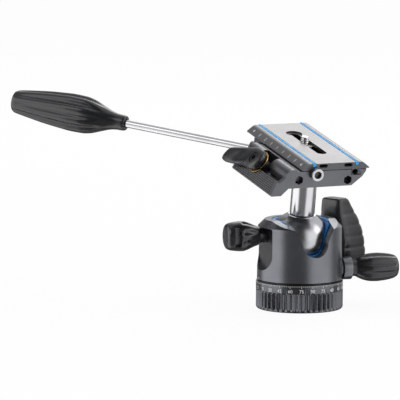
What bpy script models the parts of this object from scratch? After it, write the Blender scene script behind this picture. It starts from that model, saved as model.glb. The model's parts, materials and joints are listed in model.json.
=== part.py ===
"""Ball head for a tripod: panning base, drop notch, lever clamp, sliding plate and pan handle."""

import math

import bmesh
import bpy
from mathutils import Matrix, Vector

for old in list(bpy.data.objects):
    bpy.data.objects.remove(old, do_unlink=True)

# Sizes are in metres and angles in radians. The stack is built from the face that sits on the
# tripod; rises and drops near the ball, and the head above it, are measured from its centre.

# Fits and facets
GAP = 0.0003
OVERRUN = 0.002
ROUND_STEPS = 60
SMALL_STEPS = 20
COIL_STEPS = 8

# How the ball stands in the photograph
LEAN_REST = math.radians(0)
TILT_REST = math.radians(10.5)
TURN_REST = math.radians(1)

# How far the drop notch stands round from the front, towards the pan lock
NOTCH_TURN = math.radians(5.5)

# Panning base
RING_STEP = 0.0006
RING_HEIGHT = 0.0192
RING_CHAMFER = 0.0012
SCALE_BAND = 0.0056
FLUTE_RADIUS = 0.0012
FLUTE_DEPTH = 0.0006
FLUTE_COUNT = 48
SPIGOT_RADIUS = 0.0160
SPIGOT_RISE = 0.0027
DISH_DEPTH = 0.0033
TRIPOD_THREAD_RADIUS = 0.0047
BUSH_RADIUS = 0.0075
BUSH_LENGTH = 0.0120
BUSH_FLANGE_RADIUS = 0.0100
BUSH_FLANGE = 0.0014
PAN_WASHER = 0.0004
PAN_WASHER_MARGIN = 0.0040
CIRCLIP_THICKNESS = 0.0009
CIRCLIP_WIDTH = 0.0016
CIRCLIP_GROOVE = 0.0011
CIRCLIP_OPENING = 0.0060
GRUB_RADIUS = 0.0018
GRUB_LENGTH = 0.0070
GRUB_HEIGHT = 0.0065
HEX_SOCKET_SHARE = 0.5

# Ball and its seats
BALL_RADIUS = 0.0205
PAD_THICKNESS = 0.0008
PAD_HALF_ANGLE = math.radians(13)
CUP_WALL = 0.0003
CUP_INNER_RADIUS = 0.0142
CUP_BOTTOM_DROP = 0.0168
CUP_TOP_DROP = 0.0100
CUP_GROOVE_DROP = 0.0133
CUP_GROOVE_DEPTH = 0.0018
CUP_GROOVE_HALF_WIDTH = 0.0022
SPRING_THICKNESS = 0.0005
SPRING_WIDTH = 0.0028
LINER_TOP_DROP = 0.0003
LINER_LIP_WIDTH = 0.0025
LINER_LIP_RISE = 0.0125
LINER_NOTCH_INSET = 0.0005
COLLAR_RADIUS = 0.0098
COLLAR_RISE = 0.0184
COLLAR_HEIGHT = 0.0020
COLLAR_CHAMFER = 0.0008
BALL_HOLE_SHARE = 0.36

# Housing
HOUSING_WALL = 0.0080
HOUSING_TAPER = 0.0004
HOUSING_RISE = 0.0142
RIM_CHAMFER = 0.0047
RIM_INSET = 0.0051
RIM_SLOPE_START = 0.0062
RIM_SLOPE_RUN = 0.0186
LIP_REACH = 0.0019
LIP_THICKNESS = 0.0020
BORE_CLEARANCE = 0.0003
FLOOR_THICKNESS = 0.0022
CUP_ROOM = 0.0013
CAVITY_ROOM = 0.0008
EDGE_BREAK = 0.0004
COLLAR_SINK = 0.0036
NOTCH_RADIUS = 0.0095
NOTCH_SHOULDER_WIDTH = 0.0154
NOTCH_SHOULDER_RISE = 0.0095
POCKET_DEPTH = 0.0047
POCKET_HALF_WIDTH = 0.0159
POCKET_RISE = 0.0072
POCKET_CORNER = 0.0120
POCKET_TOP_MARGIN = 0.0005

# Friction knob, on the -X side
FRICTION_RISE = 0.0034
FRICTION_SPINDLE_RADIUS = 0.0025
FRICTION_PITCH_ROOM = 0.0014
PLUNGER_RADIUS = 0.0034
PLUNGER_LENGTH = 0.0016
FRICTION_KNOB_STATIONS = (
    (0.0000, 0.0050, 0.0000), (0.0049, 0.0050, 0.0000), (0.0053, 0.0062, 0.0000),
    (0.0080, 0.0074, 0.0003), (0.0110, 0.0087, 0.0007), (0.0140, 0.0099, 0.0009),
    (0.0163, 0.0104, 0.0009), (0.0184, 0.0104, 0.0003), (0.0196, 0.0103, 0.0000),
    (0.0240, 0.0098, 0.0000), (0.0266, 0.0092, 0.0000), (0.0281, 0.0082, 0.0000),
    (0.0287, 0.0066, 0.0000))
FRICTION_LOBES = 8
FRICTION_WINDOW_START = 0.0196
FRICTION_WINDOW_WIDTH = 0.0044
FRICTION_WINDOW_HALF_HEIGHT = 0.0068

# Pan lock, on the +X side
PAN_LOCK_RISE = 0.0061
PAN_COLLAR_RADIUS = 0.0079
PAN_COLLAR_NECK = 0.0056
PAN_COLLAR_REACH = 0.0074
PAN_SPINDLE_RADIUS = 0.0024
PAN_SHOE_RADIUS = 0.0019
PAN_SHOE_LENGTH = 0.0034
PAN_KNOB_STATIONS = (
    (0.0000, 0.0058, 0.0000), (0.0028, 0.0059, 0.0000), (0.0060, 0.0074, 0.0002),
    (0.0095, 0.0088, 0.0009), (0.0140, 0.0098, 0.0013), (0.0185, 0.0100, 0.0014),
    (0.0240, 0.0096, 0.0013), (0.0290, 0.0088, 0.0010), (0.0318, 0.0079, 0.0004),
    (0.0334, 0.0064, 0.0000), (0.0340, 0.0042, 0.0000))
PAN_LOBES = 8

# Main lock, behind the +X side
MAIN_LOCK_DROP = 0.0133
MAIN_LOCK_AZIMUTH = math.radians(32)
MAIN_COLLAR_RADIUS = 0.0072
MAIN_COLLAR_NECK = 0.0056
MAIN_COLLAR_REACH = 0.0061
MAIN_SPINDLE_RADIUS = 0.0028
MAIN_SPINDLE_INSET = 0.0074
MAIN_TIP_RADIUS = 0.0016
# Rise, half width, depth at which the near side starts, and depth at which the far side ends
PADDLE_STATIONS = (
    (-0.0150, 0.0060, 0.0010, 0.0197), (-0.0130, 0.0085, 0.0000, 0.0229),
    (-0.0060, 0.0102, 0.0000, 0.0257), (0.0000, 0.0106, 0.0000, 0.0260),
    (0.0060, 0.0108, 0.0000, 0.0248), (0.0120, 0.0110, -0.0008, 0.0232),
    (0.0190, 0.0109, -0.0024, 0.0201), (0.0260, 0.0101, -0.0040, 0.0163),
    (0.0330, 0.0090, -0.0042, 0.0112), (0.0374, 0.0084, -0.0038, 0.0082),
    (0.0386, 0.0072, -0.0028, 0.0068))
PADDLE_SIDES = 20
PADDLE_SQUARENESS = 3.6

# Post
POST_RADIUS = 0.0086
POST_WALL = 0.0042
POST_CHAMFER = 0.0004
POST_BOLT_RADIUS = 0.0030
POST_BOLT_REACH = 0.0040
POST_BOLT_HEAD_RADIUS = 0.0050
POST_BOLT_HEAD = 0.0058
BOLT_HOLE_CLEARANCE = 0.0004

# Plate: heights in its outlines are measured down from its top face
PLATE_TOP = 0.0691
PLATE_LENGTH = 0.0940
PLATE_BEVEL = 0.0056
PLATE_SHOULDER = 0.0016
PLATE_HALF_WIDTH = 0.0250
PLATE_EDGE_TOP = 0.0040
PLATE_EDGE_BOTTOM = 0.0046
DECK_THICKNESS = 0.0048
NECK_HALF = 0.0163
NECK_DROP = 0.0050
TAIL_HALF = 0.0190
TAIL_WIDEST = 0.0078
TAIL_BOTTOM = 0.0089
RAIL_INNER = 0.0120
SLOT_HALF_WIDTH = 0.0036
SLOT_START = -0.0260
SLOT_END = 0.0270
RECESS_RADIUS = 0.0057
RECESS_DEPTH = 0.0014
RECESS_CENTRE = 0.0235
COUNTER_HALF_WIDTH = 0.0073
COUNTER_DEPTH = 0.0026
CORD_INSET = 0.0036
CORD_RADIUS = 0.0013
CORD_DROP = 0.0009
END_POCKET_OFFSET = 0.0093
END_POCKET_WIDTH = 0.0063
END_POCKET_HEIGHT = 0.0024
END_POCKET_DROP = 0.0019
END_POCKET_DEPTH = 0.0080
RAIL_HOLE_OFFSET = 0.0147
RAIL_HOLE_DROP = 0.0069
RAIL_HOLE_RADIUS = 0.0015
RAIL_HOLE_DEPTH = 0.0090
END_BUSH_SHANK = 0.0070
END_BUSH_FLANGE_RADIUS = 0.0043
END_BUSH_FLANGE = 0.0042
END_BUSH_THREAD = 0.0025
END_BUSH_THREAD_DEPTH = 0.0036

# Camera screw, a quarter inch thread
SCREW_RADIUS = 0.00305
SCREW_RISE = 0.0030
SCREW_TIP = 0.0007
SCREW_HEAD_RADIUS = 0.0069
SCREW_HEAD = 0.0011
SCREW_COIN_SLOT = 0.0014
SCREW_WASHER = 0.0005
SCREW_PLACE = 0.0055

# Clamp: heights in its outlines are measured down from the plate's top face
JAW_LIP_TOP = 0.0052
JAW_OUTER = ((0.0231, 0.0052), (0.0227, 0.0067), (0.0203, 0.0103), (0.0128, 0.0164))
BED_BOTTOM = 0.0167
BED_LEFT = -0.0240
BED_WALL = -0.0190
CHANNEL_FLOOR = 0.0138
ARM_END = 0.0190
ARM_OUTER = ((-0.0339, 0.0167), (-0.0392, 0.0217), (-0.0462, 0.0217), (-0.0470, 0.0206),
             (-0.0430, 0.0112), (-0.0389, 0.0145), (-0.0378, 0.0138))
BARREL_CENTRE = -0.0310
BARREL_DROP = 0.0095
BARREL_RADIUS = 0.0058
END_CAP = 0.0038
RIB_COUNT = 7
RIB_WIDTH = 0.0008
RIB_DEPTH = 0.0006
RIB_START_SHARE = 0.7
RIB_END_SHARE = 0.4
HEX_RADIUS = 0.0032
HEX_DEPTH = 0.0060
LEFT_HEX = (-0.0265, 0.0111)
RIGHT_HEX = (0.0097, 0.0125)
HEX_SCREW_LENGTH = 0.0120

# Movable jaw, lever and their fasteners
JAW_BOTTOM = 0.0135
JAW_GAP_START = -0.0205
JAW_GAP_END = 0.0005
JAW_PIN_RADIUS = 0.0012
JAW_PIN_REACH = 0.0100
JAW_PIN_DROP = 0.0112
JAW_PIN_NEAR_INSET = 0.0140
JAW_PIN_FAR_INSET = 0.0080
JAW_SPRING_WIRE = 0.0003
JAW_SPRING_RADIUS = 0.0013
JAW_SPRING_LENGTH = 0.0060
JAW_SPRING_DROP = 0.0114
JAW_SPRING_TURNS = 5
JAW_SPRING_OFFSET = 0.0070
LEVER_PLACE = (-0.0405, -0.0100, 0.0085)
LEVER_SLANT = math.radians(50)
LEVER_HUB_RADIUS = 0.0082
LEVER_WASHER = 0.0006
LEVER_STUD_RADIUS = 0.0022
LEVER_STUD_REACH = 0.0060
LEVER_BOSS_RADIUS = 0.0050
LEVER_BOSS_LENGTH = 0.0080
LEVER_SEAT_MARGIN = 0.0010
LEVER_SCREW_RADIUS = 0.0036
LEVER_SCREW_HEAD = 0.0020
# Reach along the lever, sideways shift, half width, underside height and topside height
LEVER_STATIONS = (
    (-0.0079, 0.0000, 0.0020, 0.0010, 0.0044), (-0.0070, 0.0000, 0.0042, 0.0003, 0.0053),
    (-0.0053, 0.0000, 0.0062, 0.0003, 0.0057), (-0.0026, 0.0000, 0.0077, 0.0003, 0.0058),
    (0.0008, 0.0000, 0.0081, 0.0003, 0.0058), (0.0050, -0.0003, 0.0080, 0.0004, 0.0058),
    (0.0100, -0.0012, 0.0076, 0.0005, 0.0055), (0.0170, -0.0035, 0.0071, 0.0008, 0.0050),
    (0.0240, -0.0056, 0.0067, 0.0010, 0.0047), (0.0310, -0.0074, 0.0062, 0.0010, 0.0047),
    (0.0356, -0.0083, 0.0051, 0.0014, 0.0046), (0.0375, -0.0086, 0.0032, 0.0022, 0.0040))
LEVER_SIDES = 20
LEVER_SQUARENESS = 2.8

# Pan handle
HANDLE_AZIMUTH = math.radians(132.5)
HANDLE_DROP = 0.0120
HANDLE_ENTRY = (-0.0240, 0.0271)
BOSS_RADIUS = 0.0052
BOSS_SINK = 0.0054
BOSS_LENGTH = 0.0060
SOCKET_RADIUS = 0.0038
SOCKET_HOLE = 0.0024
SOCKET_DEPTH = 0.0095
HANDLE_STUD_RADIUS = 0.0021
HANDLE_STUD_LENGTH = 0.0080
TUBE_RADIUS = 0.00278
TUBE_LENGTH = 0.1093
GRIP_OVERLAP = 0.0140
# Distance from the grip's tube end, radius, and depth of the flutes
GRIP_STATIONS = (
    (0.0000, 0.0050, 0.0000), (0.0016, 0.0054, 0.0000), (0.0060, 0.0056, 0.0000),
    (0.0115, 0.0066, 0.0000), (0.0163, 0.0083, 0.0001), (0.0211, 0.0102, 0.0006),
    (0.0269, 0.0122, 0.0014), (0.0326, 0.0132, 0.0018), (0.0413, 0.0134, 0.0019),
    (0.0518, 0.0127, 0.0018), (0.0614, 0.0118, 0.0016), (0.0710, 0.0105, 0.0013),
    (0.0797, 0.0092, 0.0008), (0.0850, 0.0082, 0.0002), (0.0869, 0.0072, 0.0000))
GRIP_LOBES = 9
GRIP_CAP_RADIUS = 0.0052
GRIP_CAP_DEPTH = 0.0030
GRIP_CAP_DOME = 0.0010
CAP_FLAT_SHARE = 0.6
CAP_RISE_SHARE = 0.8

parts = bpy.data.collections.new("tripod_head")
tools = bpy.data.collections.new("cutters")
bpy.context.scene.collection.children.link(parts)
bpy.context.scene.collection.children.link(tools)


def material(name, colour, roughness, metallic):
    """Return a Principled material with one colour."""
    made = bpy.data.materials.new(name)
    made.use_nodes = True
    shader = made.node_tree.nodes["Principled BSDF"]
    shader.inputs["Base Color"].default_value = (*colour, 1.0)
    shader.inputs["Roughness"].default_value = roughness
    shader.inputs["Metallic"].default_value = metallic
    return made


GUNMETAL = (0.085, 0.088, 0.095)
CLAMP_GREY = (0.105, 0.108, 0.115)
STEEL = (0.62, 0.62, 0.64)
DARK_STEEL = (0.20, 0.20, 0.21)
BLACK = (0.018, 0.019, 0.021)
RUBBER = (0.022, 0.022, 0.023)
BLUE = (0.02, 0.30, 0.72)
TITANIUM = (0.45, 0.43, 0.42)
BRASS = (0.72, 0.48, 0.16)
NYLON = (0.70, 0.69, 0.65)


def keep(thing, colour, roughness, metallic, parent=None):
    """Put a finished piece among the parts, with a material of its own, under its parent."""
    for group in list(thing.users_collection):
        group.objects.unlink(thing)
    parts.objects.link(thing)
    thing.data.materials.clear()
    thing.data.materials.append(material(thing.name, colour, roughness, metallic))
    thing.data.shade_smooth()
    thing.data.set_sharp_from_angle(angle=math.radians(32))
    if parent:
        thing.parent = parent
    return thing


def as_tool(thing, parent=None):
    """Put a cutter among the tools, out of the render."""
    for group in list(thing.users_collection):
        group.objects.unlink(thing)
    tools.objects.link(thing)
    thing.hide_render = True
    thing.display_type = "WIRE"
    if parent:
        thing.parent = parent
    return thing


def boolean(thing, tool, operation="DIFFERENCE"):
    """Cut or join one closed mesh with another."""
    step = thing.modifiers.new(operation.lower(), "BOOLEAN")
    step.operation = operation
    step.solver = "EXACT"
    step.object = tool


def pivot(name, place, turn=(0, 0, 0), parent=None):
    """An empty that stands on a joint's axis."""
    empty = bpy.data.objects.new(name, None)
    bpy.context.scene.collection.objects.link(empty)
    empty.location = place
    empty.rotation_euler = turn
    empty.parent = parent
    return empty


def arc(centre, radius, start, end, steps):
    """Points of an arc in a plane, from one angle to another."""
    angles = [start + (end - start) * step / steps for step in range(steps + 1)]
    return [(centre[0] + radius * math.cos(a), centre[1] + radius * math.sin(a)) for a in angles]


def turned(name, outline, steps=ROUND_STEPS, ring=False):
    """Turn an outline of radii and heights about Z; a ring's outline closes on itself."""
    mesh = bpy.data.meshes.new(name)
    edges = [(n, n + 1) for n in range(len(outline) - 1)]
    if ring:
        edges.append((len(outline) - 1, 0))
    mesh.from_pydata([(radius, 0, height) for radius, height in outline], edges, [])
    thing = bpy.data.objects.new(name, mesh)
    bpy.context.scene.collection.objects.link(thing)
    screw = thing.modifiers.new("turn", "SCREW")
    screw.axis = "Z"
    screw.steps = steps
    screw.render_steps = steps
    screw.use_merge_vertices = True
    screw.merge_threshold = 0.00001
    screw.use_smooth_shade = True
    return thing


def prism(name, outlines, start, end, turn=0.0):
    """Extrude flat outlines of X and Z along Y, then turn the solid about Z."""
    curve = bpy.data.curves.new(name, "CURVE")
    curve.dimensions = "2D"
    curve.fill_mode = "BOTH"
    curve.extrude = (end - start) / 2
    for outline in outlines:
        line = curve.splines.new("POLY")
        line.points.add(len(outline) - 1)
        for point, (x, z) in zip(line.points, outline):
            point.co = (x, z, 0, 1)
        line.use_cyclic_u = True
    flat = bpy.data.objects.new(name + "_outline", curve)
    bpy.context.scene.collection.objects.link(flat)
    middle = (start + end) / 2
    flat.location = (-middle * math.sin(turn), middle * math.cos(turn), 0)
    flat.rotation_euler = (math.pi / 2, 0, turn)
    return as_mesh(flat, name)


def as_mesh(flat, name):
    """Turn a curve into a closed mesh that stands where the curve stood."""
    bpy.context.view_layer.update()
    shown = flat.evaluated_get(bpy.context.evaluated_depsgraph_get())
    mesh = bpy.data.meshes.new_from_object(shown)
    place = flat.matrix_world.copy()
    bpy.data.objects.remove(flat, do_unlink=True)
    weld(mesh)
    thing = bpy.data.objects.new(name, mesh)
    bpy.context.scene.collection.objects.link(thing)
    thing.matrix_world = place
    return thing


def weld(mesh):
    """Close a mesh's loose caps and point its faces outwards."""
    shape = bmesh.new()
    shape.from_mesh(mesh)
    bmesh.ops.remove_doubles(shape, verts=shape.verts, dist=0.000001)
    bmesh.ops.recalc_face_normals(shape, faces=shape.faces)
    shape.to_mesh(mesh)
    shape.free()


def rod(name, radius, start, end, sides=SMALL_STEPS):
    """A cylinder between two points, or a prism where it has few sides."""
    start = Vector(start)
    end = Vector(end)
    shape = bmesh.new()
    bmesh.ops.create_cone(shape, cap_ends=True, segments=sides, radius1=radius, radius2=radius,
                          depth=(end - start).length)
    mesh = bpy.data.meshes.new(name)
    shape.to_mesh(mesh)
    shape.free()
    thing = bpy.data.objects.new(name, mesh)
    bpy.context.scene.collection.objects.link(thing)
    thing.location = (start + end) / 2
    thing.rotation_euler = Vector((0, 0, 1)).rotation_difference(end - start).to_euler()
    return thing


def coil(name, radius, wire, turns, length):
    """A coil spring along Z, from zero up to its length."""
    curve = bpy.data.curves.new(name, "CURVE")
    curve.dimensions = "3D"
    curve.bevel_depth = wire
    curve.bevel_resolution = 0
    curve.use_fill_caps = True
    line = curve.splines.new("POLY")
    count = turns * COIL_STEPS
    line.points.add(count)
    for n, point in enumerate(line.points):
        angle = 2 * math.pi * n / COIL_STEPS
        rise = wire + (length - 2 * wire) * n / count
        point.co = (radius * math.cos(angle), radius * math.sin(angle), rise, 1)
    wound = bpy.data.objects.new(name + "_line", curve)
    bpy.context.scene.collection.objects.link(wound)
    return as_mesh(wound, name)


def block(name, low, high):
    """A box between two corners."""
    low = Vector(low)
    high = Vector(high)
    shape = bmesh.new()
    bmesh.ops.create_cube(shape, size=1)
    bmesh.ops.scale(shape, vec=high - low, verts=shape.verts)
    mesh = bpy.data.meshes.new(name)
    shape.to_mesh(mesh)
    shape.free()
    thing = bpy.data.objects.new(name, mesh)
    bpy.context.scene.collection.objects.link(thing)
    thing.location = (low + high) / 2
    return thing


def skin(name, rings):
    """Close a row of flat rings of points into one solid."""
    shape = bmesh.new()
    loops = [[shape.verts.new(point) for point in ring] for ring in rings]
    count = len(rings[0])
    for near, far in zip(loops, loops[1:]):
        for n in range(count):
            shape.faces.new((near[n], near[(n + 1) % count], far[(n + 1) % count], far[n]))
    shape.faces.new(loops[0])
    shape.faces.new(loops[-1])
    bmesh.ops.recalc_face_normals(shape, faces=shape.faces)
    mesh = bpy.data.meshes.new(name)
    shape.to_mesh(mesh)
    shape.free()
    thing = bpy.data.objects.new(name, mesh)
    bpy.context.scene.collection.objects.link(thing)
    return thing


def fluted(name, stations, lobes, around=5):
    """A turned knob along +Z whose flutes deepen and fade from station to station."""
    sides = lobes * around
    rings = []
    for height, radius, depth in stations:
        ring = []
        for n in range(sides):
            angle = 2 * math.pi * n / sides
            groove = (0.5 - 0.5 * math.cos(lobes * angle)) ** 2
            reach = radius - depth * groove
            ring.append((reach * math.cos(angle), reach * math.sin(angle), height))
        rings.append(ring)
    return skin(name, rings)


def rounded(sides, squareness):
    """Unit points of a soft rectangle; a higher squareness has tighter corners."""
    points = []
    for n in range(sides):
        angle = 2 * math.pi * n / sides
        x = math.copysign(abs(math.cos(angle)) ** (2 / squareness), math.cos(angle))
        y = math.copysign(abs(math.sin(angle)) ** (2 / squareness), math.sin(angle))
        points.append((x, y))
    return points


def aim(thing, place, azimuth, parent=None):
    """Lay a piece that was built along +Z level, pointing out at an azimuth from +X."""
    thing.location = place
    thing.rotation_mode = "XYZ"
    thing.rotation_euler = (0, math.pi / 2, azimuth)
    if parent:
        thing.parent = parent
    return thing


def out(azimuth, distance, height):
    """The point at a distance and height from the head's upright axis."""
    return (distance * math.cos(azimuth), distance * math.sin(azimuth), height)


# Heights and radii that follow from the sizes above
PAD_OUTER = BALL_RADIUS + GAP + PAD_THICKNESS
DISH_RADIUS = PAD_OUTER + GAP
SEAT_RADIUS = BALL_RADIUS + GAP
CUP_RADIUS = SEAT_RADIUS + CUP_WALL
HOUSING_BOTTOM = RING_HEIGHT + PAN_WASHER + 2 * GAP
PAN_LOCK_HEIGHT = HOUSING_BOTTOM + PAN_LOCK_RISE
SPIGOT_HEIGHT = PAN_LOCK_HEIGHT + SPIGOT_RISE
BALL_HEIGHT = SPIGOT_HEIGHT - DISH_DEPTH + DISH_RADIUS
CUP_BOTTOM = BALL_HEIGHT - CUP_BOTTOM_DROP
CUP_TOP = BALL_HEIGHT - CUP_TOP_DROP
CUP_GROOVE_HEIGHT = BALL_HEIGHT - CUP_GROOVE_DROP
MAIN_LOCK_HEIGHT = BALL_HEIGHT - MAIN_LOCK_DROP
FRICTION_HEIGHT = BALL_HEIGHT + FRICTION_RISE
HOUSING_TOP = BALL_HEIGHT + HOUSING_RISE
POCKET_BOTTOM = HOUSING_BOTTOM + POCKET_RISE
LEDGE_HEIGHT = CUP_BOTTOM - CUP_ROOM
FLOOR_TOP = HOUSING_BOTTOM + FLOOR_THICKNESS
BORE_RADIUS = CUP_RADIUS + BORE_CLEARANCE
HOUSING_RADIUS = BORE_RADIUS + HOUSING_WALL
RING_RADIUS = HOUSING_RADIUS + RING_STEP
SPIGOT_BORE = SPIGOT_RADIUS + GAP
LOWER_CAVITY_RADIUS = SPIGOT_RADIUS + CIRCLIP_WIDTH + CAVITY_ROOM
RIM_RADIUS = HOUSING_RADIUS - RIM_INSET
LIP_OPENING = BORE_RADIUS - LIP_REACH
LINER_MOUTH_RADIUS = LIP_OPENING - LINER_LIP_WIDTH
FRICTION_KNOB_START = HOUSING_RADIUS - POCKET_DEPTH + GAP
PAN_COLLAR_END = HOUSING_RADIUS + PAN_COLLAR_REACH
MAIN_COLLAR_END = HOUSING_RADIUS + MAIN_COLLAR_REACH
RIM_BASE = HOUSING_TOP - RIM_CHAMFER
LIP_BOTTOM = HOUSING_TOP - LIP_THICKNESS
CIRCLIP_BOTTOM = FLOOR_TOP + GAP
POST_BOTTOM = COLLAR_RISE + GAP
CLAMP_BOTTOM = PLATE_TOP - BED_BOTTOM
POST_TOP = CLAMP_BOTTOM - GAP
PLATE_TOP_HALF = PLATE_HALF_WIDTH - PLATE_BEVEL
CORD_OFFSET = PLATE_TOP_HALF - CORD_INSET
CLAMP_LENGTH = PLATE_LENGTH
JAW_PIN_PLACES = (-CLAMP_LENGTH / 2 + JAW_PIN_NEAR_INSET, ARM_END - JAW_PIN_FAR_INSET)
JAW_SPRING_PLACES = (JAW_PIN_PLACES[0] + JAW_SPRING_OFFSET, JAW_PIN_PLACES[1] - JAW_SPRING_OFFSET)
FRICTION_AZIMUTH = math.pi
PAN_LOCK_AZIMUTH = 0.0

notch_pivot = pivot("notch_pivot", (0, 0, BALL_HEIGHT), (0, 0, NOTCH_TURN))
lean_pivot = pivot("lean_pivot", (0, 0, 0), (0, LEAN_REST, 0), notch_pivot)
tilt_pivot = pivot("tilt_pivot", (0, 0, 0), (TILT_REST, 0, 0), lean_pivot)
post_pivot = pivot("post_pivot", (0, 0, 0), (0, 0, TURN_REST), tilt_pivot)


def base_ring():
    """The fixed base: scale band, fluted grip, and the dished spigot that the housing turns on."""
    dish_edge = math.acos((BALL_HEIGHT - SPIGOT_HEIGHT) / DISH_RADIUS)
    dish = arc((0, BALL_HEIGHT), DISH_RADIUS, -math.pi / 2, -math.pi / 2 + dish_edge, 6)
    groove_radius = SPIGOT_RADIUS - CIRCLIP_GROOVE
    groove_bottom = CIRCLIP_BOTTOM - GAP
    groove_top = CIRCLIP_BOTTOM + CIRCLIP_THICKNESS + GAP
    bush_hole = BUSH_RADIUS + GAP
    flange_hole = BUSH_FLANGE_RADIUS + GAP
    outline = [(0, dish[0][1])] + dish[1:] + [
        (SPIGOT_RADIUS - EDGE_BREAK, SPIGOT_HEIGHT), (SPIGOT_RADIUS, SPIGOT_HEIGHT - EDGE_BREAK),
        (SPIGOT_RADIUS, groove_top), (groove_radius, groove_top),
        (groove_radius, groove_bottom), (SPIGOT_RADIUS, groove_bottom),
        (SPIGOT_RADIUS, RING_HEIGHT), (RING_RADIUS - EDGE_BREAK, RING_HEIGHT),
        (RING_RADIUS, RING_HEIGHT - EDGE_BREAK), (RING_RADIUS, RING_CHAMFER),
        (RING_RADIUS - RING_CHAMFER, 0), (flange_hole, 0), (flange_hole, BUSH_FLANGE + GAP),
        (bush_hole, BUSH_FLANGE + GAP), (bush_hole, BUSH_LENGTH + GAP), (0, BUSH_LENGTH + GAP)]
    ring = turned("base_ring", outline)
    flutes = bmesh.new()
    length = RING_HEIGHT - SCALE_BAND + OVERRUN
    for n in range(FLUTE_COUNT):
        angle = 2 * math.pi * n / FLUTE_COUNT
        place = out(angle, RING_RADIUS + FLUTE_RADIUS - FLUTE_DEPTH, length / 2 - OVERRUN)
        bmesh.ops.create_cone(flutes, cap_ends=True, segments=4, radius1=FLUTE_RADIUS,
                              radius2=FLUTE_RADIUS, depth=length, matrix=Matrix.Translation(place))
    mesh = bpy.data.meshes.new("flute_cutter")
    flutes.to_mesh(mesh)
    flutes.free()
    boolean(ring, as_tool(bpy.data.objects.new("flute_cutter", mesh)))
    grub_from = out(math.pi / 2, RING_RADIUS + OVERRUN, GRUB_HEIGHT)
    grub_to = out(math.pi / 2, RING_RADIUS - GRUB_LENGTH - 2 * GAP, GRUB_HEIGHT)
    boolean(ring, as_tool(rod("grub_hole", GRUB_RADIUS + GAP, grub_from, grub_to)))
    keep(ring, GUNMETAL, 0.38, 0.9)


def base_hardware():
    """The threaded tripod bush, its locking grub screw, and the pan washer and circlip."""
    bush = turned("tripod_bush", [
        (BUSH_RADIUS, BUSH_LENGTH), (BUSH_RADIUS, BUSH_FLANGE), (BUSH_FLANGE_RADIUS, BUSH_FLANGE),
        (BUSH_FLANGE_RADIUS, 0), (TRIPOD_THREAD_RADIUS + EDGE_BREAK, 0),
        (TRIPOD_THREAD_RADIUS, EDGE_BREAK), (TRIPOD_THREAD_RADIUS, BUSH_LENGTH)], 36, ring=True)
    keep(bush, STEEL, 0.3, 1.0)
    grub_from = out(math.pi / 2, RING_RADIUS - 2 * GAP, GRUB_HEIGHT)
    grub_to = out(math.pi / 2, RING_RADIUS - GRUB_LENGTH, GRUB_HEIGHT)
    grub = rod("base_grub_screw", GRUB_RADIUS, grub_from, grub_to, 16)
    socket_to = out(math.pi / 2, RING_RADIUS - GRUB_LENGTH * HEX_SOCKET_SHARE, GRUB_HEIGHT)
    socket_from = out(math.pi / 2, RING_RADIUS + OVERRUN, GRUB_HEIGHT)
    hexagon = rod("grub_socket", GRUB_RADIUS * HEX_SOCKET_SHARE, socket_from, socket_to, 6)
    boolean(grub, as_tool(hexagon))
    keep(grub, DARK_STEEL, 0.4, 1.0)
    low = RING_HEIGHT + GAP
    outer = HOUSING_RADIUS - EDGE_BREAK
    inside = SPIGOT_RADIUS + PAN_WASHER_MARGIN
    washer = turned("pan_washer", [
        (outer, low + PAN_WASHER), (outer, low), (inside, low), (inside, low + PAN_WASHER)], ring=True)
    keep(washer, NYLON, 0.5, 0.0)
    inner = SPIGOT_RADIUS - CIRCLIP_GROOVE + GAP
    wide = SPIGOT_RADIUS + CIRCLIP_WIDTH
    top = CIRCLIP_BOTTOM + CIRCLIP_THICKNESS
    circlip = turned("pan_circlip", [
        (wide, top), (wide, CIRCLIP_BOTTOM), (inner, CIRCLIP_BOTTOM), (inner, top)], 48, ring=True)
    mouth = block("circlip_mouth", (-CIRCLIP_OPENING / 2, 0, CIRCLIP_BOTTOM - OVERRUN),
                  (CIRCLIP_OPENING / 2, wide + OVERRUN, top + OVERRUN))
    boolean(circlip, as_tool(mouth))
    keep(circlip, DARK_STEEL, 0.35, 1.0)


def notch_outline(inset):
    """The drop notch seen from the front: a round bottom that opens out to its shoulders."""
    radius = NOTCH_RADIUS - inset
    shoulder = NOTCH_SHOULDER_WIDTH - inset
    slope = (shoulder - radius) / NOTCH_SHOULDER_RISE
    top = HOUSING_TOP + OVERRUN
    mouth = radius + slope * (top - BALL_HEIGHT)
    bottom = arc((0, BALL_HEIGHT), radius, -math.pi, 0, 16)
    return bottom + [(mouth, top), (-mouth, top)]


def rim_slope(name, inset):
    """A cutter for the rim's front, which falls towards the notch from behind its shoulders."""
    start = HOUSING_TOP + inset
    reach = HOUSING_RADIUS + OVERRUN
    fall = (reach - RIM_SLOPE_START) * RIM_CHAMFER / RIM_SLOPE_RUN
    outline = [(RIM_SLOPE_START, start), (reach, start - fall), (reach, start + OVERRUN),
               (RIM_SLOPE_START, start + OVERRUN)]
    return as_tool(prism(name, [outline], -reach, reach, NOTCH_TURN - math.pi / 2))


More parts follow.
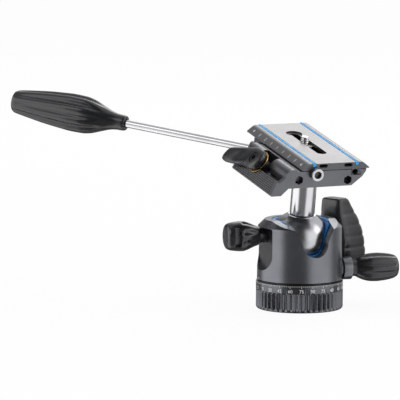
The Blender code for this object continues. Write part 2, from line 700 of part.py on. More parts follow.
def housing():
    """The turned body: drop notch, pocket for the friction knob, and holes for the three locks."""
    outline = [
        (RIM_RADIUS, HOUSING_TOP), (HOUSING_RADIUS - HOUSING_TAPER, RIM_BASE),
        (HOUSING_RADIUS, HOUSING_BOTTOM + EDGE_BREAK), (HOUSING_RADIUS - EDGE_BREAK, HOUSING_BOTTOM),
        (SPIGOT_BORE, HOUSING_BOTTOM), (SPIGOT_BORE, FLOOR_TOP), (LOWER_CAVITY_RADIUS, FLOOR_TOP),
        (LOWER_CAVITY_RADIUS, LEDGE_HEIGHT), (BORE_RADIUS, LEDGE_HEIGHT),
        (BORE_RADIUS, LIP_BOTTOM), (LIP_OPENING, LIP_BOTTOM), (LIP_OPENING, HOUSING_TOP)]
    body = turned("housing", outline, 72, ring=True)
    notch = prism("housing_notch", [notch_outline(0)], -HOUSING_RADIUS - OVERRUN, 0,
                  NOTCH_TURN)
    boolean(body, as_tool(notch))
    boolean(body, rim_slope("housing_slope", 0))
    depth = HOUSING_RADIUS - POCKET_DEPTH
    corner = POCKET_HALF_WIDTH - POCKET_CORNER
    low = POCKET_BOTTOM + POCKET_CORNER
    pocket_outline = (arc((-corner, low), POCKET_CORNER, math.pi, 1.5 * math.pi, 6)
                      + arc((corner, low), POCKET_CORNER, 1.5 * math.pi, 2 * math.pi, 6)
                      + [(POCKET_HALF_WIDTH, RIM_BASE - POCKET_TOP_MARGIN),
                         (-POCKET_HALF_WIDTH, RIM_BASE - POCKET_TOP_MARGIN)])
    pocket = prism("friction_pocket", [pocket_outline], depth, HOUSING_RADIUS + OVERRUN)
    pocket.rotation_euler.z = math.pi / 2
    pocket.location = (-(depth + HOUSING_RADIUS + OVERRUN) / 2, 0, 0)
    boolean(body, as_tool(pocket))
    inside = BORE_RADIUS - OVERRUN
    for name, radius, azimuth, height, start in (
            ("friction_hole", PLUNGER_RADIUS + GAP, FRICTION_AZIMUTH, FRICTION_HEIGHT, inside),
            ("pan_lock_hole", PAN_SPINDLE_RADIUS + GAP, PAN_LOCK_AZIMUTH, PAN_LOCK_HEIGHT,
             LOWER_CAVITY_RADIUS - OVERRUN),
            ("main_lock_hole", MAIN_SPINDLE_RADIUS + GAP, MAIN_LOCK_AZIMUTH, MAIN_LOCK_HEIGHT, inside)):
        hole = rod(name, radius, out(azimuth, start, height),
                   out(azimuth, HOUSING_RADIUS + OVERRUN, height))
        boolean(body, as_tool(hole))
    for name, radius, azimuth, height in (
            ("pan_collar_seat", PAN_COLLAR_NECK, PAN_LOCK_AZIMUTH, PAN_LOCK_HEIGHT),
            ("main_collar_seat", MAIN_COLLAR_NECK, MAIN_LOCK_AZIMUTH, MAIN_LOCK_HEIGHT)):
        seat = rod(name, radius + GAP, out(azimuth, HOUSING_RADIUS - COLLAR_SINK, height),
                   out(azimuth, HOUSING_RADIUS + OVERRUN, height), 32)
        boolean(body, as_tool(seat))
    keep(body, GUNMETAL, 0.36, 0.9)


def seats():
    """What holds the ball: liner above, lock cup and its spring below, and a pad underneath."""
    top = HOUSING_TOP - LINER_TOP_DROP
    neck = LIP_OPENING - GAP
    shelf = LIP_BOTTOM - GAP
    liner_bottom = CUP_TOP + GAP
    high = math.asin(LINER_LIP_RISE / SEAT_RADIUS)
    low = math.asin((liner_bottom - BALL_HEIGHT) / SEAT_RADIUS)
    inner = arc((0, BALL_HEIGHT), SEAT_RADIUS, low, high, 8)
    liner = turned("ball_liner", [
        (neck, top), (neck, shelf), (CUP_RADIUS, shelf), (CUP_RADIUS, liner_bottom)]
        + inner + [(LINER_MOUTH_RADIUS, top)], ring=True)
    notch = prism("liner_notch", [notch_outline(LINER_NOTCH_INSET)], -CUP_RADIUS - OVERRUN, 0,
                  NOTCH_TURN)
    boolean(liner, as_tool(notch))
    boolean(liner, rim_slope("liner_slope", LINER_NOTCH_INSET))
    keep(liner, BLUE, 0.45, 0.0)

    seat_low = math.acos(CUP_INNER_RADIUS / SEAT_RADIUS)
    seat_high = math.asin((BALL_HEIGHT - CUP_TOP) / SEAT_RADIUS)
    seat = arc((0, BALL_HEIGHT), SEAT_RADIUS, -seat_low, -seat_high, 5)
    cup = turned("lock_cup", [
        (CUP_RADIUS, CUP_TOP), (CUP_RADIUS, CUP_GROOVE_HEIGHT + CUP_GROOVE_HALF_WIDTH),
        (CUP_RADIUS - CUP_GROOVE_DEPTH, CUP_GROOVE_HEIGHT),
        (CUP_RADIUS, CUP_GROOVE_HEIGHT - CUP_GROOVE_HALF_WIDTH), (CUP_RADIUS, CUP_BOTTOM),
        (CUP_INNER_RADIUS, CUP_BOTTOM)] + seat, 48, ring=True)
    keep(cup, BRASS, 0.35, 1.0)

    spring_top = CUP_BOTTOM - GAP
    spring = turned("cup_spring", [
        (CUP_RADIUS, spring_top), (CUP_RADIUS, spring_top - SPRING_THICKNESS),
        (CUP_RADIUS - SPRING_WIDTH, spring_top - SPRING_THICKNESS),
        (CUP_RADIUS - SPRING_WIDTH, spring_top)], 48, ring=True)
    keep(spring, STEEL, 0.25, 1.0)

    start = -math.pi / 2
    end = start + PAD_HALF_ANGLE
    upper = arc((0, 0), SEAT_RADIUS, start, end, 3)
    lower = arc((0, 0), PAD_OUTER, end, start, 3)
    pad = turned("ball_pad", [(0, upper[0][1])] + upper[1:] + lower[:-1] + [(0, lower[-1][1])], 36)
    keep(pad, NYLON, 0.5, 0.0, lean_pivot)


def ball():
    """The ball with its neck collar, tapped from above for the post's bolt."""
    hole = POST_BOLT_RADIUS + BOLT_HOLE_CLEARANCE
    hole_bottom = COLLAR_RISE - COLLAR_HEIGHT - 2 * BALL_RADIUS * BALL_HOLE_SHARE
    neck = COLLAR_RISE - COLLAR_HEIGHT
    start = math.asin(neck / BALL_RADIUS)
    sphere = arc((0, 0), BALL_RADIUS, start, -math.pi / 2, 16)
    outline = [(0, hole_bottom), (hole, hole_bottom), (hole, COLLAR_RISE),
               (COLLAR_RADIUS - COLLAR_CHAMFER, COLLAR_RISE),
               (COLLAR_RADIUS, COLLAR_RISE - COLLAR_CHAMFER), (COLLAR_RADIUS, neck)]
    sphere[-1] = (0, sphere[-1][1])
    keep(turned("ball", outline + sphere, 48), GUNMETAL, 0.3, 0.9, tilt_pivot)


def post():
    """The steel post between ball and clamp, and the long bolt that ties them together."""
    inner = POST_RADIUS - POST_WALL
    tube = turned("post", [
        (POST_RADIUS - POST_CHAMFER, POST_TOP), (POST_RADIUS, POST_TOP - POST_CHAMFER),
        (POST_RADIUS, POST_BOTTOM + POST_CHAMFER), (POST_RADIUS - POST_CHAMFER, POST_BOTTOM),
        (inner, POST_BOTTOM), (inner, POST_TOP)], 48, ring=True)
    keep(tube, STEEL, 0.16, 1.0, post_pivot)
    head_top = PLATE_TOP - JAW_LIP_TOP - GAP
    head_bottom = head_top - POST_BOLT_HEAD
    socket = POST_BOLT_HEAD_RADIUS * HEX_SOCKET_SHARE
    bolt = turned("post_bolt", [
        (0, head_top), (POST_BOLT_HEAD_RADIUS - EDGE_BREAK, head_top),
        (POST_BOLT_HEAD_RADIUS, head_top - EDGE_BREAK), (POST_BOLT_HEAD_RADIUS, head_bottom),
        (POST_BOLT_RADIUS, head_bottom), (POST_BOLT_RADIUS, POST_BOLT_REACH),
        (0, POST_BOLT_REACH)], SMALL_STEPS)
    hexagon = rod("bolt_socket", socket, (0, 0, head_top - POST_BOLT_HEAD * HEX_SOCKET_SHARE),
                  (0, 0, head_top + OVERRUN), 6)
    boolean(bolt, as_tool(hexagon, post_pivot))
    keep(bolt, DARK_STEEL, 0.35, 1.0, post_pivot)


def lifted(outline):
    """Turn drops below the plate's top face into heights above the ball's centre."""
    return [(x, PLATE_TOP - drop) for x, drop in outline]


def round_rod(name, radius, x, drop, start, end, sides=SMALL_STEPS):
    """A cutter along Y at a side place and a drop below the plate's top face."""
    return rod(name, radius, (x, start, PLATE_TOP - drop), (x, end, PLATE_TOP - drop), sides)


def bed():
    """The clamp's body: fixed jaw, channel for the plate, and the ribbed arm of the lever side."""
    half = CLAMP_LENGTH / 2
    tail_room = TAIL_HALF + GAP
    rail_floor = TAIL_BOTTOM + GAP
    rail_wall = RAIL_INNER - GAP
    fixed = [(NECK_HALF + 2 * GAP, JAW_LIP_TOP), (tail_room, TAIL_WIDEST), (tail_room, rail_floor),
             (rail_wall, rail_floor), (rail_wall, JAW_LIP_TOP), (-rail_wall, JAW_LIP_TOP),
             (-rail_wall, rail_floor), (BED_WALL, rail_floor)]
    corner = [(BED_WALL, CHANNEL_FLOOR), (BED_LEFT, CHANNEL_FLOOR), (BED_LEFT, BED_BOTTOM)]
    outline = lifted(list(JAW_OUTER) + corner[::-1] + fixed[::-1])
    body = prism("clamp_body", [outline], -half, half)
    inner = BED_LEFT + OVERRUN
    arm = prism("arm", [lifted([(inner, BED_BOTTOM)] + list(ARM_OUTER) + [(inner, CHANNEL_FLOOR)])],
                -half, ARM_END)
    boolean(body, as_tool(arm, post_pivot), "UNION")
    hump = arc((BARREL_CENTRE, PLATE_TOP - BARREL_DROP), BARREL_RADIUS, math.pi, math.radians(48), 10)
    ridge = ARM_OUTER[4]
    cap_outline = ([(ridge[0] + OVERRUN / 2, PLATE_TOP - ridge[1] - OVERRUN)] + hump
                   + lifted([(BED_WALL - GAP, JAW_LIP_TOP), (BED_WALL + OVERRUN, rail_floor + OVERRUN),
                             (BED_WALL + OVERRUN, BED_BOTTOM - OVERRUN),
                             (ARM_OUTER[1][0], BED_BOTTOM - OVERRUN / 2)]))
    cap = prism("end_cap", [cap_outline], -half, -half + END_CAP)
    boolean(body, as_tool(cap, post_pivot), "UNION")
    boss_axis = Vector((math.cos(HANDLE_AZIMUTH), math.sin(HANDLE_AZIMUTH), 0))
    entry = Vector((HANDLE_ENTRY[0], HANDLE_ENTRY[1], PLATE_TOP - HANDLE_DROP))
    boss = rod("handle_boss", BOSS_RADIUS, entry - boss_axis * BOSS_SINK,
               entry + boss_axis * BOSS_LENGTH)
    boolean(body, as_tool(boss, post_pivot), "UNION")
    hub = Vector((LEVER_PLACE[0], LEVER_PLACE[1], PLATE_TOP - LEVER_PLACE[2]))
    lever_axis = Vector((-math.sin(LEVER_SLANT), 0, math.cos(LEVER_SLANT)))
    seat = hub - lever_axis * (LEVER_WASHER + GAP)
    lever_boss = rod("lever_boss", LEVER_BOSS_RADIUS, seat - lever_axis * LEVER_BOSS_LENGTH,
                     seat + lever_axis * OVERRUN)
    boolean(body, as_tool(lever_boss, post_pivot), "UNION")
    lever_seat = rod("lever_seat", LEVER_HUB_RADIUS + LEVER_SEAT_MARGIN, seat,
                     seat + lever_axis * LEVER_HUB_RADIUS, 32)
    boolean(body, as_tool(lever_seat, post_pivot))
    stud_hole = rod("lever_stud_hole", LEVER_STUD_RADIUS + GAP,
                    seat - lever_axis * (LEVER_STUD_REACH + GAP), seat + lever_axis * OVERRUN)
    boolean(body, as_tool(stud_hole, post_pivot))
    room_outline = [(-rail_wall - GAP, rail_floor), (BED_WALL - GAP, rail_floor),
                    (-tail_room, TAIL_WIDEST), (-NECK_HALF - 2 * GAP, JAW_LIP_TOP),
                    (-NECK_HALF - 2 * GAP, 0), (-rail_wall - GAP, 0)]
    plate_room = prism("plate_room", [lifted(room_outline)], -half - OVERRUN, half + OVERRUN)
    boolean(body, as_tool(plate_room, post_pivot))
    hole_end = entry + boss_axis * (BOSS_LENGTH + OVERRUN)
    hole_start = entry + boss_axis * (BOSS_LENGTH - SOCKET_DEPTH - GAP)
    boolean(body, as_tool(rod("socket_hole", SOCKET_RADIUS + GAP, hole_start, hole_end), post_pivot))
    slope_bottom = Vector((ARM_OUTER[3][0], 0, PLATE_TOP - ARM_OUTER[3][1]))
    slope_top = Vector((ARM_OUTER[4][0], 0, PLATE_TOP - ARM_OUTER[4][1]))
    along = slope_top - slope_bottom
    lean = math.atan2(along.x, along.z)
    ribs = bmesh.new()
    for n in range(RIB_COUNT):
        place = slope_bottom + along * ((n + RIB_START_SHARE) / (RIB_COUNT + RIB_END_SHARE))
        size = Matrix.Diagonal((2 * RIB_DEPTH, CLAMP_LENGTH + 2 * OVERRUN, RIB_WIDTH, 1))
        spot = Matrix.Translation(place) @ Matrix.Rotation(lean, 4, "Y") @ size
        bmesh.ops.create_cube(ribs, size=1, matrix=spot)
    mesh = bpy.data.meshes.new("rib_cutter")
    ribs.to_mesh(mesh)
    ribs.free()
    boolean(body, as_tool(bpy.data.objects.new("rib_cutter", mesh), post_pivot))
    for name, (x, drop) in (("left_hex", LEFT_HEX), ("right_hex", RIGHT_HEX)):
        pocket = round_rod(name, HEX_RADIUS, x, drop, -half - OVERRUN, -half + HEX_DEPTH, 6)
        boolean(body, as_tool(pocket, post_pivot))
    screw_hole = round_rod("right_screw_hole", HEX_RADIUS * HEX_SOCKET_SHARE + GAP, *RIGHT_HEX,
                           -half, -half + HEX_DEPTH + HEX_SCREW_LENGTH)
    boolean(body, as_tool(screw_hole, post_pivot))
    head_bottom = PLATE_TOP - JAW_LIP_TOP - POST_BOLT_HEAD - 2 * GAP
    counterbore = rod("bolt_counterbore", POST_BOLT_HEAD_RADIUS + GAP, (0, 0, head_bottom),
                      (0, 0, PLATE_TOP))
    boolean(body, as_tool(counterbore, post_pivot))
    shank = rod("bolt_hole", POST_BOLT_RADIUS + GAP, (0, 0, CLAMP_BOTTOM - OVERRUN), (0, 0, PLATE_TOP))
    boolean(body, as_tool(shank, post_pivot))
    keep(body, CLAMP_GREY, 0.42, 0.85, post_pivot)
    return body


def jaw(body):
    """The movable jaw: a lip for the plate and a barrel back, with room for the lever between."""
    start = -CLAMP_LENGTH / 2 + END_CAP + GAP
    lip = [(-NECK_HALF - 2 * GAP, JAW_LIP_TOP), (-TAIL_HALF - GAP, TAIL_WIDEST),
           (BED_WALL - 2 * GAP, JAW_BOTTOM), (BARREL_CENTRE - BARREL_RADIUS + 2 * GAP, JAW_BOTTOM)]
    hump = arc((BARREL_CENTRE, PLATE_TOP - BARREL_DROP), BARREL_RADIUS, math.pi, math.radians(48), 12)
    outline = lifted(lip) + hump
    piece = prism("clamp_jaw", [outline], start, ARM_END)
    gap_low = PLATE_TOP - JAW_BOTTOM - OVERRUN
    room = block("lever_room", (BARREL_CENTRE - BARREL_RADIUS - OVERRUN, JAW_GAP_START, gap_low),
                 (BARREL_CENTRE + BARREL_RADIUS / 2, JAW_GAP_END, PLATE_TOP))
    boolean(piece, as_tool(room, post_pivot))
    height = PLATE_TOP - JAW_PIN_DROP
    inside = BED_WALL + JAW_PIN_REACH
    for place, name in zip(JAW_PIN_PLACES, ("jaw_pin_near", "jaw_pin_far")):
        hole = JAW_PIN_RADIUS + GAP
        bore = rod(name + "_bore", hole, (inside, place, height), (BARREL_CENTRE, place, height), 16)
        boolean(piece, as_tool(bore, post_pivot))
        seat = rod(name + "_seat", hole, (inside, place, height), (BED_LEFT, place, height), 16)
        boolean(body, as_tool(seat, post_pivot))
        pin = rod(name, JAW_PIN_RADIUS, (inside - GAP, place, height),
                  (BARREL_CENTRE + GAP, place, height), 16)
        keep(pin, STEEL, 0.25, 1.0, post_pivot)
    keep(piece, CLAMP_GREY, 0.42, 0.85, post_pivot)


def jaw_springs(body):
    """Two coil springs, in pockets of the clamp's wall, that push the jaw open."""
    height = PLATE_TOP - JAW_SPRING_DROP
    wide = JAW_SPRING_RADIUS + JAW_SPRING_WIRE
    for place, name in zip(JAW_SPRING_PLACES, ("jaw_spring_near", "jaw_spring_far")):
        pocket_end = BED_WALL + JAW_SPRING_LENGTH + 2 * GAP
        pocket = rod(name + "_pocket", wide + GAP, (BED_LEFT, place, height),
                     (pocket_end, place, height), 16)
        boolean(body, as_tool(pocket, post_pivot))
        spring = coil(name, JAW_SPRING_RADIUS, JAW_SPRING_WIRE, JAW_SPRING_TURNS, JAW_SPRING_LENGTH)
        spring.rotation_euler = (0, math.pi / 2, 0)
        spring.location = (BED_WALL, place, height)
        keep(spring, STEEL, 0.25, 1.0, post_pivot)


def lever():
    """The cam lever on its slanted axis, over a brass washer, held by a recessed screw."""
    x, y, drop = LEVER_PLACE
    lever_pivot = pivot("lever_pivot", (x, y, PLATE_TOP - drop), (0, -LEVER_SLANT, 0), post_pivot)
    section = rounded(LEVER_SIDES, LEVER_SQUARENESS)
    rings = []
    for reach, shift, half, low, high in LEVER_STATIONS:
        middle = (low + high) / 2
        thick = (high - low) / 2
        rings.append([(shift + half * u, reach, middle + thick * v) for u, v in section])
    piece = skin("clamp_lever", rings)
    top = max(station[4] for station in LEVER_STATIONS)
    recess = rod("lever_screw_recess", LEVER_SCREW_RADIUS + GAP,
                 (0, 0, top - LEVER_SCREW_HEAD - GAP), (0, 0, top + OVERRUN))
    boolean(piece, as_tool(recess, lever_pivot))
    boolean(piece, as_tool(rod("lever_bore", LEVER_STUD_RADIUS + GAP, (0, 0, -OVERRUN),
                               (0, 0, top)), lever_pivot))
    keep(piece, BLACK, 0.35, 0.0, lever_pivot)
    washer_low = -LEVER_WASHER
    washer = turned("lever_washer", [
        (LEVER_HUB_RADIUS, 0), (LEVER_HUB_RADIUS, washer_low),
        (LEVER_STUD_RADIUS + GAP, washer_low), (LEVER_STUD_RADIUS + GAP, 0)], 40, ring=True)
    keep(washer, BRASS, 0.25, 1.0, lever_pivot)
    head_top = top - GAP
    head_bottom = top - LEVER_SCREW_HEAD
    stud_end = washer_low - LEVER_STUD_REACH
    screw = turned("lever_screw", [
        (0, head_top), (LEVER_SCREW_RADIUS - EDGE_BREAK, head_top),
        (LEVER_SCREW_RADIUS, head_top - EDGE_BREAK), (LEVER_SCREW_RADIUS, head_bottom),
        (LEVER_STUD_RADIUS, head_bottom), (LEVER_STUD_RADIUS, stud_end), (0, stud_end)], SMALL_STEPS)
    hexagon = rod("lever_screw_socket", LEVER_SCREW_RADIUS * HEX_SOCKET_SHARE,
                  (0, 0, head_top - LEVER_SCREW_HEAD * HEX_SOCKET_SHARE), (0, 0, head_top + OVERRUN), 6)
    boolean(screw, as_tool(hexagon, lever_pivot))
    keep(screw, DARK_STEEL, 0.35, 1.0, lever_pivot)


def hex_screw():
    """The socket screw at the bottom of the clamp's right hexagonal recess."""
    half = CLAMP_LENGTH / 2
    start = -half + HEX_DEPTH + GAP
    end = start + HEX_SCREW_LENGTH - 2 * GAP
    screw = round_rod("clamp_end_screw", HEX_RADIUS * HEX_SOCKET_SHARE, *RIGHT_HEX, start, end, 16)
    keep(screw, DARK_STEEL, 0.4, 1.0, post_pivot)


def plate():
    """The sliding plate: bevelled deck, dovetail rails, screw slot and two cord grooves."""
    half = PLATE_LENGTH / 2
    side = [(PLATE_TOP_HALF, 0), (PLATE_TOP_HALF + PLATE_SHOULDER, PLATE_SHOULDER / 2),
            (PLATE_HALF_WIDTH, PLATE_EDGE_TOP), (PLATE_HALF_WIDTH, PLATE_EDGE_BOTTOM),
            (NECK_HALF, NECK_DROP), (TAIL_HALF, TAIL_WIDEST), (TAIL_HALF, TAIL_BOTTOM),
            (RAIL_INNER, TAIL_BOTTOM), (RAIL_INNER, DECK_THICKNESS)]
    mirrored = [(-x, drop) for x, drop in reversed(side)]
    piece = prism("plate", [lifted(side + mirrored)], -half, half)
    slot_length = SLOT_END - SLOT_START
    middle = (SLOT_START + SLOT_END) / 2
    for name, width, low, high, extra in (
            ("screw_slot", SLOT_HALF_WIDTH, DECK_THICKNESS + OVERRUN, -OVERRUN, 0),
            ("counter_slot", COUNTER_HALF_WIDTH, DECK_THICKNESS + OVERRUN,
             DECK_THICKNESS - COUNTER_DEPTH, COUNTER_HALF_WIDTH - SLOT_HALF_WIDTH)):
        run = slot_length / 2 + extra - width
        boolean(piece, as_tool(stadium(name, width, run, middle, PLATE_TOP - low, PLATE_TOP - high),
                               post_pivot))
    recess = rod("slot_recess", RECESS_RADIUS, (0, RECESS_CENTRE, PLATE_TOP - RECESS_DEPTH),
                 (0, RECESS_CENTRE, PLATE_TOP + OVERRUN), 32)
    boolean(piece, as_tool(recess, post_pivot))
    for side_sign, side_name in ((-1, "left"), (1, "right")):
        groove = round_rod("cord_groove_" + side_name, CORD_RADIUS + GAP, side_sign * CORD_OFFSET,
                           CORD_DROP, -half - OVERRUN, half + OVERRUN, 16)
        boolean(piece, as_tool(groove, post_pivot))
        for end_sign, end_name in ((-1, "near"), (1, "far")):
            pocket = end_pocket("end_pocket_" + side_name + "_" + end_name, side_sign, end_sign)
            boolean(piece, as_tool(pocket, post_pivot))
        hole = round_rod("rail_hole_" + side_name, RAIL_HOLE_RADIUS, side_sign * RAIL_HOLE_OFFSET,
                         RAIL_HOLE_DROP, -half - OVERRUN, -half + RAIL_HOLE_DEPTH, 16)
        boolean(piece, as_tool(hole, post_pivot))
        cord = round_rod("grip_cord_" + side_name, CORD_RADIUS, side_sign * CORD_OFFSET, CORD_DROP,
                         -half, half, 16)
        keep(cord, BLUE, 0.5, 0.0, post_pivot)
    keep(piece, TITANIUM, 0.45, 0.8, post_pivot)


def stadium(name, radius, run, middle, low, high):
    """A slot-shaped cutter along Y between two heights."""
    shape = bmesh.new()
    ends = arc((0, middle + run), radius, 0, math.pi, 10) + arc((0, middle - run), radius,
                                                               math.pi, 2 * math.pi, 10)
    face = shape.faces.new([shape.verts.new((x, y, low)) for x, y in ends])
    lifted_face = bmesh.ops.extrude_face_region(shape, geom=[face])
    tops = [item for item in lifted_face["geom"] if isinstance(item, bmesh.types.BMVert)]
    bmesh.ops.translate(shape, vec=(0, 0, high - low), verts=tops)
    bmesh.ops.recalc_face_normals(shape, faces=shape.faces)
    mesh = bpy.data.meshes.new(name)
    shape.to_mesh(mesh)
    shape.free()
    return bpy.data.objects.new(name, mesh)


def end_pocket(name, side_sign, end_sign):
    """A cutter for one rounded pocket in an end face of the plate."""
    radius = END_POCKET_HEIGHT / 2
    run = END_POCKET_WIDTH / 2 - radius
    centre = side_sign * END_POCKET_OFFSET
    height = PLATE_TOP - END_POCKET_DROP
    outline = (arc((centre + run, height), radius, -math.pi / 2, math.pi / 2, 6)
               + arc((centre - run, height), radius, math.pi / 2, 1.5 * math.pi, 6))
    end = PLATE_LENGTH / 2
    start, stop = sorted((end_sign * (end - END_POCKET_DEPTH), end_sign * (end + OVERRUN)))
    return prism(name, [outline], start, stop)


def plate_fittings():
    """The threaded stop bush in the left rail, and the camera screw with its sliding washer."""
    half = PLATE_LENGTH / 2
    drop = PLATE_TOP - RAIL_HOLE_DROP
    bush = turned("stop_bush", [
        (0, END_BUSH_SHANK), (RAIL_HOLE_RADIUS - GAP, END_BUSH_SHANK), (RAIL_HOLE_RADIUS - GAP, -GAP),
        (END_BUSH_FLANGE_RADIUS - EDGE_BREAK, -GAP), (END_BUSH_FLANGE_RADIUS, -GAP - EDGE_BREAK),
        (END_BUSH_FLANGE_RADIUS, -END_BUSH_FLANGE + EDGE_BREAK),
        (END_BUSH_FLANGE_RADIUS - EDGE_BREAK, -END_BUSH_FLANGE),
        (END_BUSH_THREAD + EDGE_BREAK, -END_BUSH_FLANGE),
        (END_BUSH_THREAD, -END_BUSH_FLANGE + EDGE_BREAK),
        (END_BUSH_THREAD, -END_BUSH_FLANGE + END_BUSH_THREAD_DEPTH),
        (0, -END_BUSH_FLANGE + END_BUSH_THREAD_DEPTH)], 32)
    bush.rotation_euler = (-math.pi / 2, 0, 0)
    bush.location = (-RAIL_HOLE_OFFSET, -half, drop)
    keep(bush, STEEL, 0.12, 1.0, post_pivot)
    ceiling = PLATE_TOP - DECK_THICKNESS + COUNTER_DEPTH
    washer_top = ceiling - GAP
    washer_low = washer_top - SCREW_WASHER
    hole = SCREW_RADIUS + GAP
    washer = turned("screw_washer", [
        (SCREW_HEAD_RADIUS, washer_top), (SCREW_HEAD_RADIUS, washer_low), (hole, washer_low),
        (hole, washer_top)], 32, ring=True)
    washer.location = (0, SCREW_PLACE, 0)
    keep(washer, NYLON, 0.5, 0.0, post_pivot)
    head_top = washer_low - GAP
    head_low = head_top - SCREW_HEAD
    tip = PLATE_TOP + SCREW_RISE
    screw = turned("camera_screw", [
        (0, tip), (SCREW_RADIUS - SCREW_TIP, tip), (SCREW_RADIUS, tip - SCREW_TIP),
        (SCREW_RADIUS, head_top), (SCREW_HEAD_RADIUS, head_top), (SCREW_HEAD_RADIUS, head_low),
        (0, head_low)], 32)
    screw.location = (0, SCREW_PLACE, 0)
    coin = block("coin_slot", (-SCREW_HEAD_RADIUS - OVERRUN, -SCREW_COIN_SLOT / 2, head_low - OVERRUN),
                 (SCREW_HEAD_RADIUS + OVERRUN, SCREW_COIN_SLOT / 2, head_low + SCREW_HEAD / 2))
    coin.location.y += SCREW_PLACE
    boolean(screw, as_tool(coin, post_pivot))
    keep(screw, STEEL, 0.2, 1.0, post_pivot)


def handle():
    """The pan handle: socket, stud and tube, rubber grip and its end cap."""
    axis = Vector((math.cos(HANDLE_AZIMUTH), math.sin(HANDLE_AZIMUTH), 0))
    entry = Vector((HANDLE_ENTRY[0], HANDLE_ENTRY[1], PLATE_TOP - HANDLE_DROP))
    mouth = entry + axis * BOSS_LENGTH

    def along(thing, distance):
        return aim(thing, mouth + axis * distance, HANDLE_AZIMUTH)

    socket = turned("handle_socket", [
        (SOCKET_RADIUS, 0), (SOCKET_RADIUS, -SOCKET_DEPTH), (SOCKET_HOLE, -SOCKET_DEPTH),
        (SOCKET_HOLE, 0)], SMALL_STEPS, ring=True)
    keep(along(socket, 0), STEEL, 0.3, 1.0, post_pivot)
    tube_start = GAP
    tube = turned("handle_tube", [
        (0, tube_start + TUBE_LENGTH), (TUBE_RADIUS, tube_start + TUBE_LENGTH),
        (TUBE_RADIUS, tube_start), (HANDLE_STUD_RADIUS, tube_start),
        (HANDLE_STUD_RADIUS, -HANDLE_STUD_LENGTH), (0, -HANDLE_STUD_LENGTH)], 32)
    keep(along(tube, 0), STEEL, 0.14, 1.0, post_pivot)
    grip_start = tube_start + TUBE_LENGTH - GRIP_OVERLAP
    grip = fluted("handle_grip", GRIP_STATIONS, GRIP_LOBES)
    grip_end = GRIP_STATIONS[-1][0]
    bore = rod("grip_bore", TUBE_RADIUS + GAP, (0, 0, -OVERRUN), (0, 0, GRIP_OVERLAP + GAP))
    cap_seat = rod("cap_seat", GRIP_CAP_RADIUS + GAP, (0, 0, grip_end - GRIP_CAP_DEPTH - GAP),
                   (0, 0, grip_end + OVERRUN))
    for tool in (bore, cap_seat):
        tool.location = mouth + axis * (grip_start + tool.location.z)
        tool.rotation_euler = (0, math.pi / 2, HANDLE_AZIMUTH)
        boolean(grip, as_tool(tool, post_pivot))
    keep(along(grip, grip_start), RUBBER, 0.55, 0.0, post_pivot)
    cap = turned("grip_cap", [
        (0, GRIP_CAP_DOME), (GRIP_CAP_RADIUS * CAP_FLAT_SHARE, GRIP_CAP_DOME * CAP_RISE_SHARE),
        (GRIP_CAP_RADIUS, 0), (GRIP_CAP_RADIUS, -GRIP_CAP_DEPTH), (0, -GRIP_CAP_DEPTH)], 32)
    keep(along(cap, grip_start + grip_end), BLACK, 0.4, 0.0, post_pivot)


def friction_lock():
    """The friction knob with its spindle, and the nylon plunger that drags on the liner."""
    place = out(FRICTION_AZIMUTH, FRICTION_KNOB_START, FRICTION_HEIGHT)
    knob = fluted("friction_knob", FRICTION_KNOB_STATIONS, FRICTION_LOBES)
    aim(knob, place, FRICTION_AZIMUTH)
    window_start = FRICTION_KNOB_START + FRICTION_WINDOW_START
    reach = BALL_RADIUS
    window = block("knob_window",
                   (-window_start - FRICTION_WINDOW_WIDTH, -reach,
                    FRICTION_HEIGHT - FRICTION_WINDOW_HALF_HEIGHT),
                   (-window_start, reach, FRICTION_HEIGHT + FRICTION_WINDOW_HALF_HEIGHT))
    boolean(knob, as_tool(window))
    spindle_end = FRICTION_KNOB_START + FRICTION_WINDOW_START - 2 * OVERRUN
    bore = rod("friction_bore", FRICTION_SPINDLE_RADIUS + GAP,
               out(FRICTION_AZIMUTH, FRICTION_KNOB_START - OVERRUN, FRICTION_HEIGHT),
               out(FRICTION_AZIMUTH, spindle_end + FRICTION_PITCH_ROOM, FRICTION_HEIGHT))
    boolean(knob, as_tool(bore))
    keep(knob, BLACK, 0.38, 0.0)
    plunger_start = CUP_RADIUS + 2 * GAP
    plunger_end = plunger_start + PLUNGER_LENGTH
    plunger = rod("friction_plunger", PLUNGER_RADIUS,
                  out(FRICTION_AZIMUTH, plunger_start, FRICTION_HEIGHT),
                  out(FRICTION_AZIMUTH, plunger_end, FRICTION_HEIGHT))
    keep(plunger, NYLON, 0.5, 0.0)
    spindle = rod("friction_spindle", FRICTION_SPINDLE_RADIUS,
                  out(FRICTION_AZIMUTH, plunger_end + GAP, FRICTION_HEIGHT),
                  out(FRICTION_AZIMUTH, spindle_end, FRICTION_HEIGHT))
    keep(spindle, STEEL, 0.25, 1.0)


def collar(name, radius, neck, end, hole, azimuth, height):
    """A shouldered boss, pressed into the housing, that guides a lock's spindle."""
    start = HOUSING_RADIUS - COLLAR_SINK + GAP
    shoulder = RING_RADIUS + GAP - start
    ring = turned(name, [
        (radius - EDGE_BREAK, end - start), (radius, end - start - EDGE_BREAK), (radius, shoulder),
        (neck, shoulder), (neck, 0), (hole, 0), (hole, end - start)], 32, ring=True)
    aim(ring, out(azimuth, start, height), azimuth)
    keep(ring, GUNMETAL, 0.36, 0.9)


